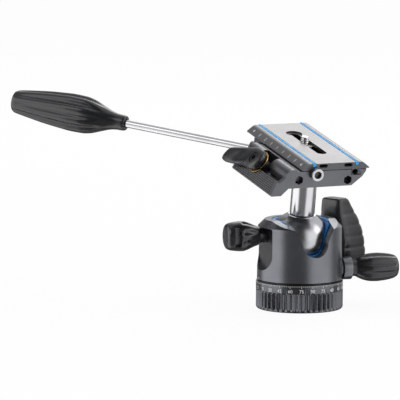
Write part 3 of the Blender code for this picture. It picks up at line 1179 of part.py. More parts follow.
def pan_lock():
    """The pan lock: collar, fluted knob, spindle, and the brass shoe that grips the spigot."""
    collar("pan_lock_collar", PAN_COLLAR_RADIUS, PAN_COLLAR_NECK, PAN_COLLAR_END,
           PAN_SPINDLE_RADIUS + GAP, PAN_LOCK_AZIMUTH, PAN_LOCK_HEIGHT)
    knob_start = PAN_COLLAR_END + GAP
    knob = fluted("pan_lock_knob", PAN_KNOB_STATIONS, PAN_LOBES)
    aim(knob, out(PAN_LOCK_AZIMUTH, knob_start, PAN_LOCK_HEIGHT), PAN_LOCK_AZIMUTH)
    spindle_end = knob_start + PAN_KNOB_STATIONS[4][0]
    bore = rod("pan_bore", PAN_SPINDLE_RADIUS + GAP,
               out(PAN_LOCK_AZIMUTH, knob_start - OVERRUN, PAN_LOCK_HEIGHT),
               out(PAN_LOCK_AZIMUTH, spindle_end + FRICTION_PITCH_ROOM, PAN_LOCK_HEIGHT))
    boolean(knob, as_tool(bore))
    keep(knob, BLACK, 0.38, 0.0)
    shoe_start = SPIGOT_RADIUS + GAP
    shoe_end = shoe_start + PAN_SHOE_LENGTH
    shoe = rod("pan_shoe", PAN_SHOE_RADIUS, out(PAN_LOCK_AZIMUTH, shoe_start, PAN_LOCK_HEIGHT),
               out(PAN_LOCK_AZIMUTH, shoe_end, PAN_LOCK_HEIGHT), 20)
    keep(shoe, BRASS, 0.3, 1.0)
    spindle = rod("pan_spindle", PAN_SPINDLE_RADIUS,
                  out(PAN_LOCK_AZIMUTH, shoe_end + GAP, PAN_LOCK_HEIGHT),
                  out(PAN_LOCK_AZIMUTH, spindle_end, PAN_LOCK_HEIGHT))
    keep(spindle, STEEL, 0.25, 1.0)


def main_lock():
    """The main lock: collar, the big paddle, and the cone-ended spindle that lifts the cup."""
    collar("main_lock_collar", MAIN_COLLAR_RADIUS, MAIN_COLLAR_NECK, MAIN_COLLAR_END,
           MAIN_SPINDLE_RADIUS + GAP, MAIN_LOCK_AZIMUTH, MAIN_LOCK_HEIGHT)
    start = MAIN_COLLAR_END + GAP
    section = rounded(PADDLE_SIDES, PADDLE_SQUARENESS)
    rings = []
    for rise, half, near, far in PADDLE_STATIONS:
        middle = (near + far) / 2
        thick = (far - near) / 2
        rings.append([(-rise, half * u, middle + thick * v) for u, v in section])
    paddle = skin("main_lock_paddle", rings)
    aim(paddle, out(MAIN_LOCK_AZIMUTH, start, MAIN_LOCK_HEIGHT), MAIN_LOCK_AZIMUTH)
    tip_start = CUP_RADIUS - CUP_GROOVE_DEPTH + 3 * GAP
    spindle_end = start + MAIN_SPINDLE_INSET
    length = spindle_end - tip_start
    bore = rod("main_bore", MAIN_SPINDLE_RADIUS + GAP,
               out(MAIN_LOCK_AZIMUTH, start - OVERRUN, MAIN_LOCK_HEIGHT),
               out(MAIN_LOCK_AZIMUTH, spindle_end + 2 * GAP, MAIN_LOCK_HEIGHT))
    boolean(paddle, as_tool(bore))
    keep(paddle, BLACK, 0.42, 0.0)
    cone = CUP_GROOVE_DEPTH
    spindle = turned("main_spindle", [
        (0, length), (MAIN_SPINDLE_RADIUS, length),
        (MAIN_SPINDLE_RADIUS, cone + MAIN_SPINDLE_RADIUS - MAIN_TIP_RADIUS),
        (MAIN_TIP_RADIUS, cone), (MAIN_TIP_RADIUS / 4, 0), (0, 0)], SMALL_STEPS)
    aim(spindle, out(MAIN_LOCK_AZIMUTH, tip_start, MAIN_LOCK_HEIGHT), MAIN_LOCK_AZIMUTH)
    keep(spindle, STEEL, 0.25, 1.0)


base_ring()
base_hardware()
housing()
seats()
ball()
post()
clamp = bed()
jaw(clamp)
jaw_springs(clamp)
lever()
hex_screw()
plate()
plate_fittings()
handle()
friction_lock()
pan_lock()
main_lock()
bpy.context.view_layer.update()
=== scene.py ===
"""Looks of a tripod ball head with a pan handle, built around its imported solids."""

import json
import math

import bmesh
import bpy
from mathutils import Matrix, Vector


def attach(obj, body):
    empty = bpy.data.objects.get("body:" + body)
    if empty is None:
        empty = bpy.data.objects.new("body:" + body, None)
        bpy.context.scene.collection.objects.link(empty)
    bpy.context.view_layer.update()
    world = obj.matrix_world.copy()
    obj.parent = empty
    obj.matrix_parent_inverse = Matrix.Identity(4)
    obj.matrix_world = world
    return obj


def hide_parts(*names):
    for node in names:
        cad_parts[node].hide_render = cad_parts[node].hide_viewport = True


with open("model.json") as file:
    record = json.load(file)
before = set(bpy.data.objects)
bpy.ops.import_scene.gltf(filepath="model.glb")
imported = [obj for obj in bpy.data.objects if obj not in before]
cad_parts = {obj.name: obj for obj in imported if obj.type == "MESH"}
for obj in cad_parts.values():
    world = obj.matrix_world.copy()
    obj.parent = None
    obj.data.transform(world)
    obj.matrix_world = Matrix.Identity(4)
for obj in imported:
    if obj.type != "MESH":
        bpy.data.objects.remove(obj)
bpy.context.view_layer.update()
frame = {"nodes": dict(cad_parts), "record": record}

# Sizes are in metres and angles in radians, in the frame of the solids.
BALL_HEIGHT = 0.0476
BALL_RADIUS = 0.0205
NOTCH_TURN = math.radians(5.5)
TILT_REST = math.radians(10.5)
TURN_REST = math.radians(1)
PLATE_TOP = 0.0691
RING_RADIUS = 0.0300
RING_HEIGHT = 0.0192
HOUSING_RADIUS = 0.0294
HOUSING_BOTTOM = 0.0202
HOUSING_TOP = 0.0618
GAP = 0.0003
OVERRUN = 0.0020
MARK_LIFT = 0.00001

# Locks on the housing: the azimuth and the height of each one's axis
FRICTION_TURN, FRICTION_HEIGHT = math.pi, 0.0510
PAN_LOCK_TURN, PAN_LOCK_HEIGHT = 0.0, 0.0263
MAIN_LOCK_TURN, MAIN_LOCK_HEIGHT = math.radians(32), 0.0343


def polar(radius, angle, height):
    """A point at a radius and an angle about Z."""
    return radius * math.cos(angle), radius * math.sin(angle), height


# Where the head's own pieces stand
BALL_PLACE = (Matrix.Translation((0, 0, BALL_HEIGHT)) @ Matrix.Rotation(NOTCH_TURN, 4, "Z")
              @ Matrix.Rotation(TILT_REST, 4, "X"))
HEAD = BALL_PLACE @ Matrix.Rotation(TURN_REST, 4, "Z")
LEVER_PLACE = (HEAD @ Matrix.Translation((-0.0405, -0.0100, PLATE_TOP - 0.0085))
               @ Matrix.Rotation(math.radians(-50), 4, "Y"))
HANDLE_AZIMUTH = math.radians(132.5)
HANDLE_MOUTH = (Vector((-0.0240, 0.0271, PLATE_TOP - 0.0120))
                + Vector(polar(0.0060, HANDLE_AZIMUTH, 0)))
TUBE_START = 0.0003
TUBE_LENGTH = 0.1093
GRIP_START = TUBE_START + TUBE_LENGTH - 0.0140


def level(azimuth, distance, height):
    """The place of a piece built along +Z that lies level and points out at an azimuth."""
    return (Matrix.Translation(polar(distance, azimuth, height)) @ Matrix.Rotation(azimuth, 4, "Z")
            @ Matrix.Rotation(math.pi / 2, 4, "Y"))


def handle_place(distance):
    """The place of a handle piece built along +Z, at a distance from the socket's mouth."""
    return (HEAD @ Matrix.Translation(HANDLE_MOUTH + Vector(polar(distance, HANDLE_AZIMUTH, 0)))
            @ Matrix.Rotation(HANDLE_AZIMUTH, 4, "Z") @ Matrix.Rotation(math.pi / 2, 4, "Y"))


# ---- shader groups

def group(name, values, outputs):
    """A shader node group that takes a vector and named values, with named outputs."""
    tree = bpy.data.node_groups.new(name, "ShaderNodeTree")
    tree.interface.new_socket("Vector", in_out="INPUT", socket_type="NodeSocketVector")
    for label, value in values.items():
        socket = tree.interface.new_socket(label, in_out="INPUT", socket_type="NodeSocketFloat")
        socket.default_value = value
    for label in outputs:
        tree.interface.new_socket(label, in_out="OUTPUT", socket_type="NodeSocketFloat")
    return tree, tree.nodes.new("NodeGroupInput"), tree.nodes.new("NodeGroupOutput")


def feed(tree, source, socket):
    """Link a socket to another one, or give it a plain value."""
    if isinstance(source, bpy.types.NodeSocket):
        tree.links.new(source, socket)
    else:
        socket.default_value = source


def noise(tree, vector, scale, detail, roughness=0.55):
    """A noise texture on a vector."""
    node = tree.nodes.new("ShaderNodeTexNoise")
    for label, source in (("Vector", vector), ("Scale", scale), ("Detail", detail),
                          ("Roughness", roughness)):
        feed(tree, source, node.inputs[label])
    return node.outputs["Fac"]


def spread_value(tree, value, low, high, to_low, to_high):
    """Map a value from one range to another."""
    node = tree.nodes.new("ShaderNodeMapRange")
    for label, source in (("Value", value), ("From Min", low), ("From Max", high), ("To Min", to_low),
                          ("To Max", to_high)):
        feed(tree, source, node.inputs[label])
    return node.outputs["Result"]


def soft_step(tree, value, low, high, to_low, to_high):
    """Map a value from one range to another with soft ends."""
    result = spread_value(tree, value, low, high, to_low, to_high)
    result.node.interpolation_type = "SMOOTHSTEP"
    return result


def multiply_add(tree, first, second, third):
    """The first value times the second, plus the third."""
    node = tree.nodes.new("ShaderNodeMath")
    node.operation = "MULTIPLY_ADD"
    for socket, source in zip(node.inputs, (first, second, third)):
        feed(tree, source, socket)
    return node.outputs[0]


def axes(tree, vector):
    """The X, Y and Z of a vector."""
    node = tree.nodes.new("ShaderNodeSeparateXYZ")
    tree.links.new(vector, node.inputs[0])
    return node.outputs


def vector_step(tree, operation, first, second=(0, 0, 0)):
    """A vector operation; returns its outputs."""
    node = tree.nodes.new("ShaderNodeVectorMath")
    node.operation = operation
    feed(tree, first, node.inputs[0])
    feed(tree, second, node.inputs[1])
    return node.outputs


def blended(tree, share, first, second):
    """A mix of two shaders."""
    node = tree.nodes.new("ShaderNodeMixShader")
    for socket, source in zip(node.inputs, (share, first, second)):
        tree.links.new(source, socket)
    return node.outputs[0]


def mixed(tree, first, second, share, blend="MIX"):
    """A mix of two colours."""
    node = tree.nodes.new("ShaderNodeMix")
    node.data_type = "RGBA"
    node.blend_type = blend
    for label, source in (("A", first), ("B", second), ("Factor", share)):
        feed(tree, source, node.inputs[label])
    return node.outputs["Result"]


def bumped(tree, height, strength, normal=None):
    """A normal raised by a height."""
    node = tree.nodes.new("ShaderNodeBump")
    node.inputs["Strength"].default_value = strength
    node.inputs["Distance"].default_value = 0.0001
    tree.links.new(height, node.inputs["Height"])
    if normal:
        tree.links.new(normal, node.inputs["Normal"])
    return node.outputs["Normal"]


def placed(tree, made, **values):
    """A shader group placed in a material, with its own values."""
    node = tree.nodes.new("ShaderNodeGroup")
    node.node_tree = made
    for label, source in values.items():
        feed(tree, source, node.inputs[label.replace("_", " ")])
    return node.outputs


def make_grain():
    """Fine blasted or moulded grain: a height, and a slow change of tone."""
    tree, start, end = group("fine_grain", {"Grain Scale": 2500.0, "Tone Scale": 45.0},
                             ("Height", "Tone", "Fleck"))
    vector = start.outputs["Vector"]
    grain = noise(tree, vector, start.outputs["Grain Scale"], 3.0, 0.6)
    tone = noise(tree, vector, start.outputs["Tone Scale"], 4.0)
    tree.links.new(grain, end.inputs["Height"])
    tree.links.new(spread_value(tree, tone, 0.3, 0.7, 0.0, 1.0), end.inputs["Tone"])
    tree.links.new(spread_value(tree, grain, 0.35, 0.65, 0.0, 1.0), end.inputs["Fleck"])
    return tree


def make_handling():
    """Soft smudges and rubbed places, as a mask."""
    tree, start, end = group("handling", {"Scale": 60.0, "Amount": 0.5}, ("Mask",))
    broad = noise(tree, start.outputs["Vector"], start.outputs["Scale"], 5.0, 0.65)
    mask = spread_value(tree, broad, 0.48, 0.72, 0.0, start.outputs["Amount"])
    tree.links.new(mask, end.inputs["Mask"])
    return tree


def make_turning():
    """Fine lines left by turning, around an axis along the vector's Z."""
    tree, start, end = group("turning_lines", {"Scale": 900.0}, ("Height",))
    joined = tree.nodes.new("ShaderNodeCombineXYZ")
    tree.links.new(axes(tree, start.outputs["Vector"])["Z"], joined.inputs["Z"])
    lines = noise(tree, joined.outputs[0], start.outputs["Scale"], 2.0)
    tree.links.new(lines, end.inputs["Height"])
    return tree


GRAIN = make_grain()
HANDLING = make_handling()
TURNING = make_turning()


def finish_of(name, colour, tone, metallic, rough, grain_scale=2500.0, bump=0.04, rub=0.5,
              axis=(0, 0, 0), line_scale=900.0, lines=0.0, specular=0.5):
    """A finish: colour to tone by slow patches, roughness by rubbed places, grain in the normal."""
    made = bpy.data.materials.new(name)
    made.use_nodes = True
    tree = made.node_tree
    shader = tree.nodes["Principled BSDF"]
    shader.inputs["Metallic"].default_value = metallic
    shader.inputs["Specular IOR Level"].default_value = specular
    where = tree.nodes.new("ShaderNodeTexCoord").outputs["Object"]
    grain = placed(tree, GRAIN, Vector=where, Grain_Scale=grain_scale)
    rubbed = placed(tree, HANDLING, Vector=where, Amount=rub)
    patches = mixed(tree, (*colour, 1), (*tone, 1), grain["Tone"])
    flecks = spread_value(tree, grain["Fleck"], 0.0, 1.0, 0.0, 0.5)
    flecked = mixed(tree, patches, (0.82, 0.82, 0.83, 1), flecks, "MULTIPLY")
    tree.links.new(flecked, shader.inputs["Base Color"])
    tree.links.new(spread_value(tree, rubbed["Mask"], 0.0, 1.0, *rough), shader.inputs["Roughness"])
    normal = bumped(tree, grain["Height"], bump)
    if lines:
        turn = tree.nodes.new("ShaderNodeMapping")
        turn.vector_type = "TEXTURE"
        turn.inputs["Rotation"].default_value = axis
        tree.links.new(where, turn.inputs["Vector"])
        ringed = placed(tree, TURNING, Vector=turn.outputs["Vector"], Scale=line_scale)
        normal = bumped(tree, ringed["Height"], lines, normal)
    tree.links.new(normal, shader.inputs["Normal"])
    return made


HEAD_TURN = tuple(HEAD.to_euler("XYZ"))
HANDLE_TURN = tuple(handle_place(0).to_euler("XYZ"))
FINISHES = {
    "gunmetal": finish_of("satin_gunmetal", (0.130, 0.135, 0.149), (0.155, 0.161, 0.176), 0.92,
                          (0.27, 0.23), 3000.0, 0.016, 0.5, (0, 0, 0), 1400.0, 0.02),
    "burnished": finish_of("burnished_ball", (0.40, 0.405, 0.42), (0.45, 0.455, 0.47), 1.0,
                           (0.25, 0.21), 4200.0, 0.03, 0.5, HEAD_TURN, 1600.0, 0.02),
    "clamp_grey": finish_of("anodised_clamp", (0.105, 0.108, 0.117), (0.125, 0.128, 0.138), 0.85,
                            (0.33, 0.28), 4200.0, 0.05),
    "plate_grey": finish_of("blasted_plate", (0.29, 0.283, 0.282), (0.32, 0.313, 0.312), 0.75,
                            (0.40, 0.35), 5200.0, 0.08),
    "polished_steel": finish_of("polished_steel", (0.50, 0.50, 0.515), (0.55, 0.55, 0.565), 1.0,
                                (0.17, 0.21), 3000.0, 0.01, 0.6, HEAD_TURN, 2400.0, 0.03),
    "handle_steel": finish_of("polished_tube", (0.50, 0.50, 0.515), (0.56, 0.56, 0.575), 1.0,
                              (0.17, 0.22), 2400.0, 0.006, 0.6, HANDLE_TURN, 1200.0, 0.015),
    "plain_steel": finish_of("machined_steel", (0.44, 0.44, 0.455), (0.50, 0.50, 0.515), 1.0,
                             (0.24, 0.32), 3000.0, 0.03, 0.6, HEAD_TURN, 1800.0, 0.05),
    "dark_steel": finish_of("blackened_steel", (0.035, 0.035, 0.038), (0.055, 0.055, 0.059), 0.9,
                            (0.34, 0.42), 3000.0, 0.06),
    "brass": finish_of("turned_brass", (0.62, 0.42, 0.16), (0.70, 0.49, 0.20), 1.0, (0.24, 0.34),
                       3000.0, 0.03),
    "black_plastic": finish_of("satin_black_nylon", (0.010, 0.011, 0.013), (0.015, 0.016, 0.019), 0.0,
                               (0.26, 0.21), 3600.0, 0.06, 0.7, specular=0.55),
    "black_rubber": finish_of("soft_black_rubber", (0.008, 0.009, 0.011), (0.012, 0.013, 0.015), 0.0,
                              (0.26, 0.21), 2400.0, 0.035, 0.8, specular=0.55),
    "blue_plastic": finish_of("blue_liner", (0.012, 0.25, 0.72), (0.018, 0.29, 0.80), 0.0,
                              (0.34, 0.28), 3200.0, 0.05),
    "blue_rubber": finish_of("blue_cord", (0.045, 0.36, 0.78), (0.06, 0.42, 0.86), 0.0,
                             (0.42, 0.36), 3200.0, 0.08),
    "white_nylon": finish_of("natural_nylon", (0.72, 0.71, 0.67), (0.78, 0.77, 0.73), 0.0,
                             (0.45, 0.38), 3000.0, 0.06),
}
GRIP_GREY = finish_of("dark_fluted_grip", (0.085, 0.089, 0.098), (0.110, 0.114, 0.123), 0.9,
                      (0.26, 0.22), 3600.0, 0.02, 0.5, (0, 0, 0), 1400.0, 0.02)
SIDE_GREY = finish_of("dark_plate_edge", (0.088, 0.090, 0.096), (0.105, 0.107, 0.113), 0.8,
                      (0.36, 0.30), 4800.0, 0.05)
PAINT = finish_of("white_marking", (0.80, 0.80, 0.80), (0.88, 0.88, 0.88), 0.0, (0.5, 0.45),
                  4000.0, 0.03)


def darken_shoulder(made, edge=-0.0212, inner=-0.0164, dark=(0.150, 0.153, 0.163, 1)):
    """Paint shade over the plate's rounded left shoulder: its light finish runs out to dark."""
    tree = made.node_tree
    colour = tree.nodes["Principled BSDF"].inputs["Base Color"]
    turn = tree.nodes.new("ShaderNodeMapping")
    turn.vector_type = "TEXTURE"
    turn.inputs["Location"].default_value = HEAD.translation
    turn.inputs["Rotation"].default_value = HEAD_TURN
    tree.links.new(tree.nodes.new("ShaderNodeTexCoord").outputs["Object"], turn.inputs["Vector"])
    # Painted shade: full at the shoulder's outer edge, none inside it.
    shade = soft_step(tree, axes(tree, turn.outputs["Vector"])["X"], edge, inner, 1.0, 0.0)
    tree.links.new(mixed(tree, colour.links[0].from_socket, dark, shade), colour)


darken_shoulder(FINISHES["plate_grey"])


# ---- mesh tools

def standing(name, data):
    """A new object in the scene."""
    thing = bpy.data.objects.new(name, data)
    bpy.context.scene.collection.objects.link(thing)
    return thing


def finished(thing, tools=()):
    """The plain mesh that an object's modifiers make; the object and its tools are removed."""
    bpy.context.view_layer.update()
    shown = thing.evaluated_get(bpy.context.evaluated_depsgraph_get())
    mesh = bpy.data.meshes.new_from_object(shown)
    for old in (*tools, thing):
        bpy.data.objects.remove(old, do_unlink=True)
    return mesh


SHARP_ANGLE = 32


def put(name, mesh, place, body, slot, nodes=(), finish=None, sharp=SHARP_ANGLE):
    """Make a finished piece from a mesh: its place goes into the mesh, and it rides on its body.

    A piece with a smaller sharp angle than usual has broad flat faces, whose shading is evened out.
    """
    mesh.transform(place)
    mesh.name = name
    piece = standing(name, mesh)
    if finish is not False:
        mesh.materials.clear()
        mesh.materials.append(finish or FINISHES[slot])
    mesh.shade_smooth()
    mesh.set_sharp_from_angle(angle=math.radians(sharp))
    if sharp < SHARP_ANGLE:
        even = piece.modifiers.new("even_faces", "WEIGHTED_NORMAL")
        even.keep_sharp = True
    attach(piece, body)
    if nodes:
        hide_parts(*nodes)


def as_it_is(shape):
    """Turn a bmesh into a mesh."""
    mesh = bpy.data.meshes.new("shape")
    shape.to_mesh(mesh)
    shape.free()
    return mesh


def to_mesh(shape):
    """Turn a bmesh into a mesh with its faces pointing outwards."""
    bmesh.ops.recalc_face_normals(shape, faces=shape.faces)
    return as_it_is(shape)


def bridge(shape, near, far):
    """Join two rings of points, either of which may be a single point."""
    if len(near) == 1 and len(far) == 1:
        return
    count = max(len(near), len(far))
    for n in range(count):
        m = (n + 1) % count
        if len(near) == 1:
            shape.faces.new((near[0], far[m], far[n]))
        elif len(far) == 1:
            shape.faces.new((near[n], near[m], far[0]))
        else:
            shape.faces.new((near[n], near[m], far[m], far[n]))


NEARLY_STRAIGHT = math.radians(165)
CORNER_SHARE = 0.4


def softened(outline, radius, ring=False):
    """Round the corners of an outline of radii and heights."""
    points = [Vector(point) for point in outline]
    result = []
    count = len(points)
    for n, point in enumerate(points):
        if not ring and n in (0, count - 1) or point.x == 0:
            result.append(tuple(point))
            continue
        before = points[n - 1] - point
        after = points[(n + 1) % count] - point
        turn = before.angle(after, math.pi)
        if turn > NEARLY_STRAIGHT:
            result.append(tuple(point))
            continue
        first = point + before.normalized() * min(radius, before.length * CORNER_SHARE)
        last = point + after.normalized() * min(radius, after.length * CORNER_SHARE)
        for share in (0.0, 0.25, 0.5, 0.75, 1.0):
            spot = first * (1 - share) ** 2 + point * 2 * share * (1 - share) + last * share ** 2
            result.append(tuple(spot))
    return result


def turned(outline, steps=144, ring=False, soft=0.0):
    """Turn an outline of radii and heights about Z."""
    if soft:
        outline = softened(outline, soft, ring)
    shape = bmesh.new()
    loops = []
    for radius, height in outline:
        if radius <= 0:
            loops.append([shape.verts.new((0, 0, height))])
            continue
        loops.append([shape.verts.new(polar(radius, 2 * math.pi * n / steps, height))
                      for n in range(steps)])
    pairs = list(zip(loops, loops[1:]))
    if ring:
        pairs.append((loops[-1], loops[0]))
    for near, far in pairs:
        bridge(shape, near, far)
    return to_mesh(shape)


def skinned(rings):
    """Close a row of rings of points; a flat end face closes each end."""
    shape = bmesh.new()
    loops = [[shape.verts.new(point) for point in ring] for ring in rings]
    for near, far in zip(loops, loops[1:]):
        bridge(shape, near, far)
    for end in (loops[0], loops[-1]):
        if len(end) > 2:
            shape.faces.new(end)
    return to_mesh(shape)


def eased(stations, parts):
    """Smooth rows of numbers by a curve that never swings past them."""
    rows = [list(row) for row in stations]
    spots = [0.0]
    for a, b in zip(rows, rows[1:]):
        spots.append(spots[-1] + max(1e-6, math.dist(a[:2], b[:2])))
    width = len(rows[0])
    steps = [[(rows[i + 1][c] - rows[i][c]) / (spots[i + 1] - spots[i]) for c in range(width)]
             for i in range(len(rows) - 1)]
    slopes = [steps[0]]
    for a, b in zip(steps, steps[1:]):
        slopes.append([2 * p * q / (p + q) if p * q > 0 else 0.0 for p, q in zip(a, b)])
    slopes.append(steps[-1])
    result = []
    for i in range(len(rows) - 1):
        run = spots[i + 1] - spots[i]
        for k in range(parts):
            t = k / parts
            h0, h1 = 2 * t ** 3 - 3 * t ** 2 + 1, t ** 3 - 2 * t ** 2 + t
            h2, h3 = -2 * t ** 3 + 3 * t ** 2, t ** 3 - t ** 2
            result.append([h0 * rows[i][c] + h1 * run * slopes[i][c] + h2 * rows[i + 1][c]
                           + h3 * run * slopes[i + 1][c] for c in range(width)])
    result.append(rows[-1])
    return result


def fluted(stations, lobes, around=20, parts=5, power=2.0):
    """A turned grip along +Z whose flutes deepen and fade from station to station."""
    sides = lobes * around
    rings = []
    for height, radius, depth in eased(stations, parts):
        ring = []
        for n in range(sides):
            angle = 2 * math.pi * n / sides
            reach = radius - depth * (0.5 - 0.5 * math.cos(lobes * angle)) ** power
            ring.append(polar(reach, angle, height))
        rings.append(ring)
    return skinned(rings)


def rounded(sides, squareness):
    """Unit points of a soft rectangle."""
    power = 2 / squareness
    flat = [polar(1, 2 * math.pi * n / sides, 0)[:2] for n in range(sides)]
    return [(math.copysign(abs(x) ** power, x), math.copysign(abs(y) ** power, y)) for x, y in flat]


def rod_mesh(radius, start, end, sides=48):
    """A closed cylinder between two points."""
    start, end = Vector(start), Vector(end)
    shape = bmesh.new()
    place = (Matrix.Translation((start + end) / 2)
             @ Vector((0, 0, 1)).rotation_difference(end - start).to_matrix().to_4x4())
    bmesh.ops.create_cone(shape, cap_ends=True, segments=sides, radius1=radius, radius2=radius,
                          depth=(end - start).length, matrix=place)
    return to_mesh(shape)


def block_mesh(low, high):
    """A closed box between two corners."""
    low, high = Vector(low), Vector(high)
    shape = bmesh.new()
    size = Matrix.Diagonal((*(high - low), 1))
    bmesh.ops.create_cube(shape, size=1, matrix=Matrix.Translation((low + high) / 2) @ size)
    return to_mesh(shape)


def prism_mesh(outline, start, end, turn=0.0):
    """Extrude a flat outline of X and Z along Y, then turn it about Z."""
    shape = bmesh.new()
    face = shape.faces.new([shape.verts.new((x, start, z)) for x, z in outline])
    grown = bmesh.ops.extrude_face_region(shape, geom=[face])
    moved = [item for item in grown["geom"] if isinstance(item, bmesh.types.BMVert)]
    bmesh.ops.translate(shape, vec=(0, end - start, 0), verts=moved)
    bmesh.ops.rotate(shape, cent=(0, 0, 0), matrix=Matrix.Rotation(turn, 3, "Z"), verts=shape.verts)
    return to_mesh(shape)


def arc(centre, radius, start, end, steps):
    """Points of an arc in a plane, from one angle to another."""
    angles = [start + (end - start) * step / steps for step in range(steps + 1)]
    return [(centre[0] + radius * math.cos(a), centre[1] + radius * math.sin(a)) for a in angles]


def worked(mesh, cutters=(), bevel=0.0, segments=3, angle=30):
    """Cut a mesh with others and round its sharp edges; returns the finished mesh."""
    thing = standing("blank", mesh)
    tools = [standing("tool", cutter) for cutter in cutters]
    for tool in tools:
        step = thing.modifiers.new("cut", "BOOLEAN")
        step.operation = "DIFFERENCE"
        step.solver = "EXACT"
        step.object = tool
    if bevel:
        step = thing.modifiers.new("edge", "BEVEL")
        step.width = bevel
        step.segments = segments
        step.limit_method = "ANGLE"
        step.angle_limit = math.radians(angle)
        step.use_clamp_overlap = True
    return finished(thing, tools)


def copy_of(node, bevel):
    """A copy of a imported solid's mesh, merged, with its flat faces joined and its edges rounded."""
    shape = bmesh.new()
    shape.from_mesh(frame["nodes"][node].data)
    bmesh.ops.remove_doubles(shape, verts=shape.verts, dist=0.000002)
    bmesh.ops.dissolve_limit(shape, angle_limit=math.radians(0.6), verts=shape.verts, edges=shape.edges)
    return worked(as_it_is(shape), (), bevel, 2, 34)


def merged(meshes):
    """One mesh out of several."""
    shape = bmesh.new()
    for mesh in meshes:
        shape.from_mesh(mesh)
    return as_it_is(shape)


# ---- rows of equal features and white markings

def make_row_tree():
    """A geometry tree that repeats a bar, each one turned and shifted a step from the last."""
    tree = bpy.data.node_groups.new("bar_row", "GeometryNodeTree")
    ids = {}
    tree.interface.new_socket("Geometry", in_out="INPUT", socket_type="NodeSocketGeometry")
    for label, kind in (("Count", "Int"), ("Bar Size", "Vector"), ("First Place", "Vector"),
                        ("Step", "Vector"), ("First Turn", "Vector"), ("Turn Step", "Vector"),
                        ("Finish", "Material")):
        socket = tree.interface.new_socket(label, in_out="INPUT", socket_type="NodeSocket" + kind)
        ids[label] = socket.identifier
    tree.interface.new_socket("Geometry", in_out="OUTPUT", socket_type="NodeSocketGeometry")
    new = tree.nodes.new
    link = tree.links.new
    start = new("NodeGroupInput")
    end = new("NodeGroupOutput")
    line = new("GeometryNodeMeshLine")
    link(start.outputs["Count"], line.inputs["Count"])
    line.inputs["Offset"].default_value = (0, 0, 0)
    bar = new("GeometryNodeMeshCube")
    link(start.outputs["Bar Size"], bar.inputs["Size"])
    copies = new("GeometryNodeInstanceOnPoints")
    link(line.outputs["Mesh"], copies.inputs["Points"])
    link(bar.outputs["Mesh"], copies.inputs["Instance"])
    index = new("GeometryNodeInputIndex")

    def stepped(first, step):
        node = new("ShaderNodeVectorMath")
        node.operation = "MULTIPLY_ADD"
        spot = new("ShaderNodeCombineXYZ")
        for axis in "XYZ":
            link(index.outputs[0], spot.inputs[axis])
        link(spot.outputs[0], node.inputs[0])
        link(start.outputs[step], node.inputs[1])
        link(start.outputs[first], node.inputs[2])
        return node.outputs[0]

    turn = new("GeometryNodeRotateInstances")
    euler = new("FunctionNodeEulerToRotation")
    link(stepped("First Turn", "Turn Step"), euler.inputs[0])
    link(copies.outputs["Instances"], turn.inputs["Instances"])
    link(euler.outputs[0], turn.inputs["Rotation"])
    shift = new("GeometryNodeTranslateInstances")
    shift.inputs["Local Space"].default_value = True
    link(turn.outputs["Instances"], shift.inputs["Instances"])
    link(stepped("First Place", "Step"), shift.inputs["Translation"])
    real = new("GeometryNodeRealizeInstances")
    link(shift.outputs["Instances"], real.inputs["Geometry"])
    coat = new("GeometryNodeSetMaterial")
    link(real.outputs["Geometry"], coat.inputs["Geometry"])
    link(start.outputs["Finish"], coat.inputs["Material"])
    link(coat.outputs["Geometry"], end.inputs["Geometry"])
    return tree, ids


ROW_TREE, ROW_IDS = make_row_tree()


def row(count, size, first, step=(0, 0, 0), turn=(0, 0, 0), turn_step=(0, 0, 0)):
    """A mesh of equal bars."""
    thing = standing("row", bpy.data.meshes.new("row"))
    nodes = thing.modifiers.new("row", "NODES")
    nodes.node_group = ROW_TREE
    for label, value in (("Count", count), ("Bar Size", size), ("First Place", first), ("Step", step),
                         ("First Turn", turn), ("Turn Step", turn_step), ("Finish", PAINT)):
        nodes[ROW_IDS[label]] = value
    return finished(thing)


LETTER_SHARE = 1.42


def digits(text, height, thickness=0.00008):
    """A mesh of raised digits, centred on the origin, standing in the XY plane."""
    curve = bpy.data.curves.new("digits", "FONT")
    curve.body = text
    curve.size = height * LETTER_SHARE
    curve.extrude = thickness / 2
    curve.resolution_u = 3
    curve.align_x = "CENTER"
    curve.align_y = "CENTER"
    shape = bmesh.new()
    shape.from_mesh(finished(standing("digits", curve)))
    bmesh.ops.remove_doubles(shape, verts=shape.verts, dist=0.000001)
    return to_mesh(shape)


def wrapped(mesh, radius, azimuth, height):
    """Bend flat digits round an upright cylinder."""
    for vertex in mesh.vertices:
        x, y, z = vertex.co
        vertex.co = polar(radius + z, azimuth + x / radius, height + y)
    return mesh


def painted(name, marks, body, place=Matrix()):
    """A piece of white markings."""
    put(name, merged(marks), place, body, "white_nylon", finish=PAINT)


# ---- base

BASE_BORE = 0.0103
SCALE_BAND_BOTTOM = 0.0136
FLUTE_COUNT = 48
FLUTE_DEPTH = 0.0014
FLUTE_POWER = 0.8
NUMBER_COUNT = 24
NUMBER_PITCH = 360 // NUMBER_COUNT


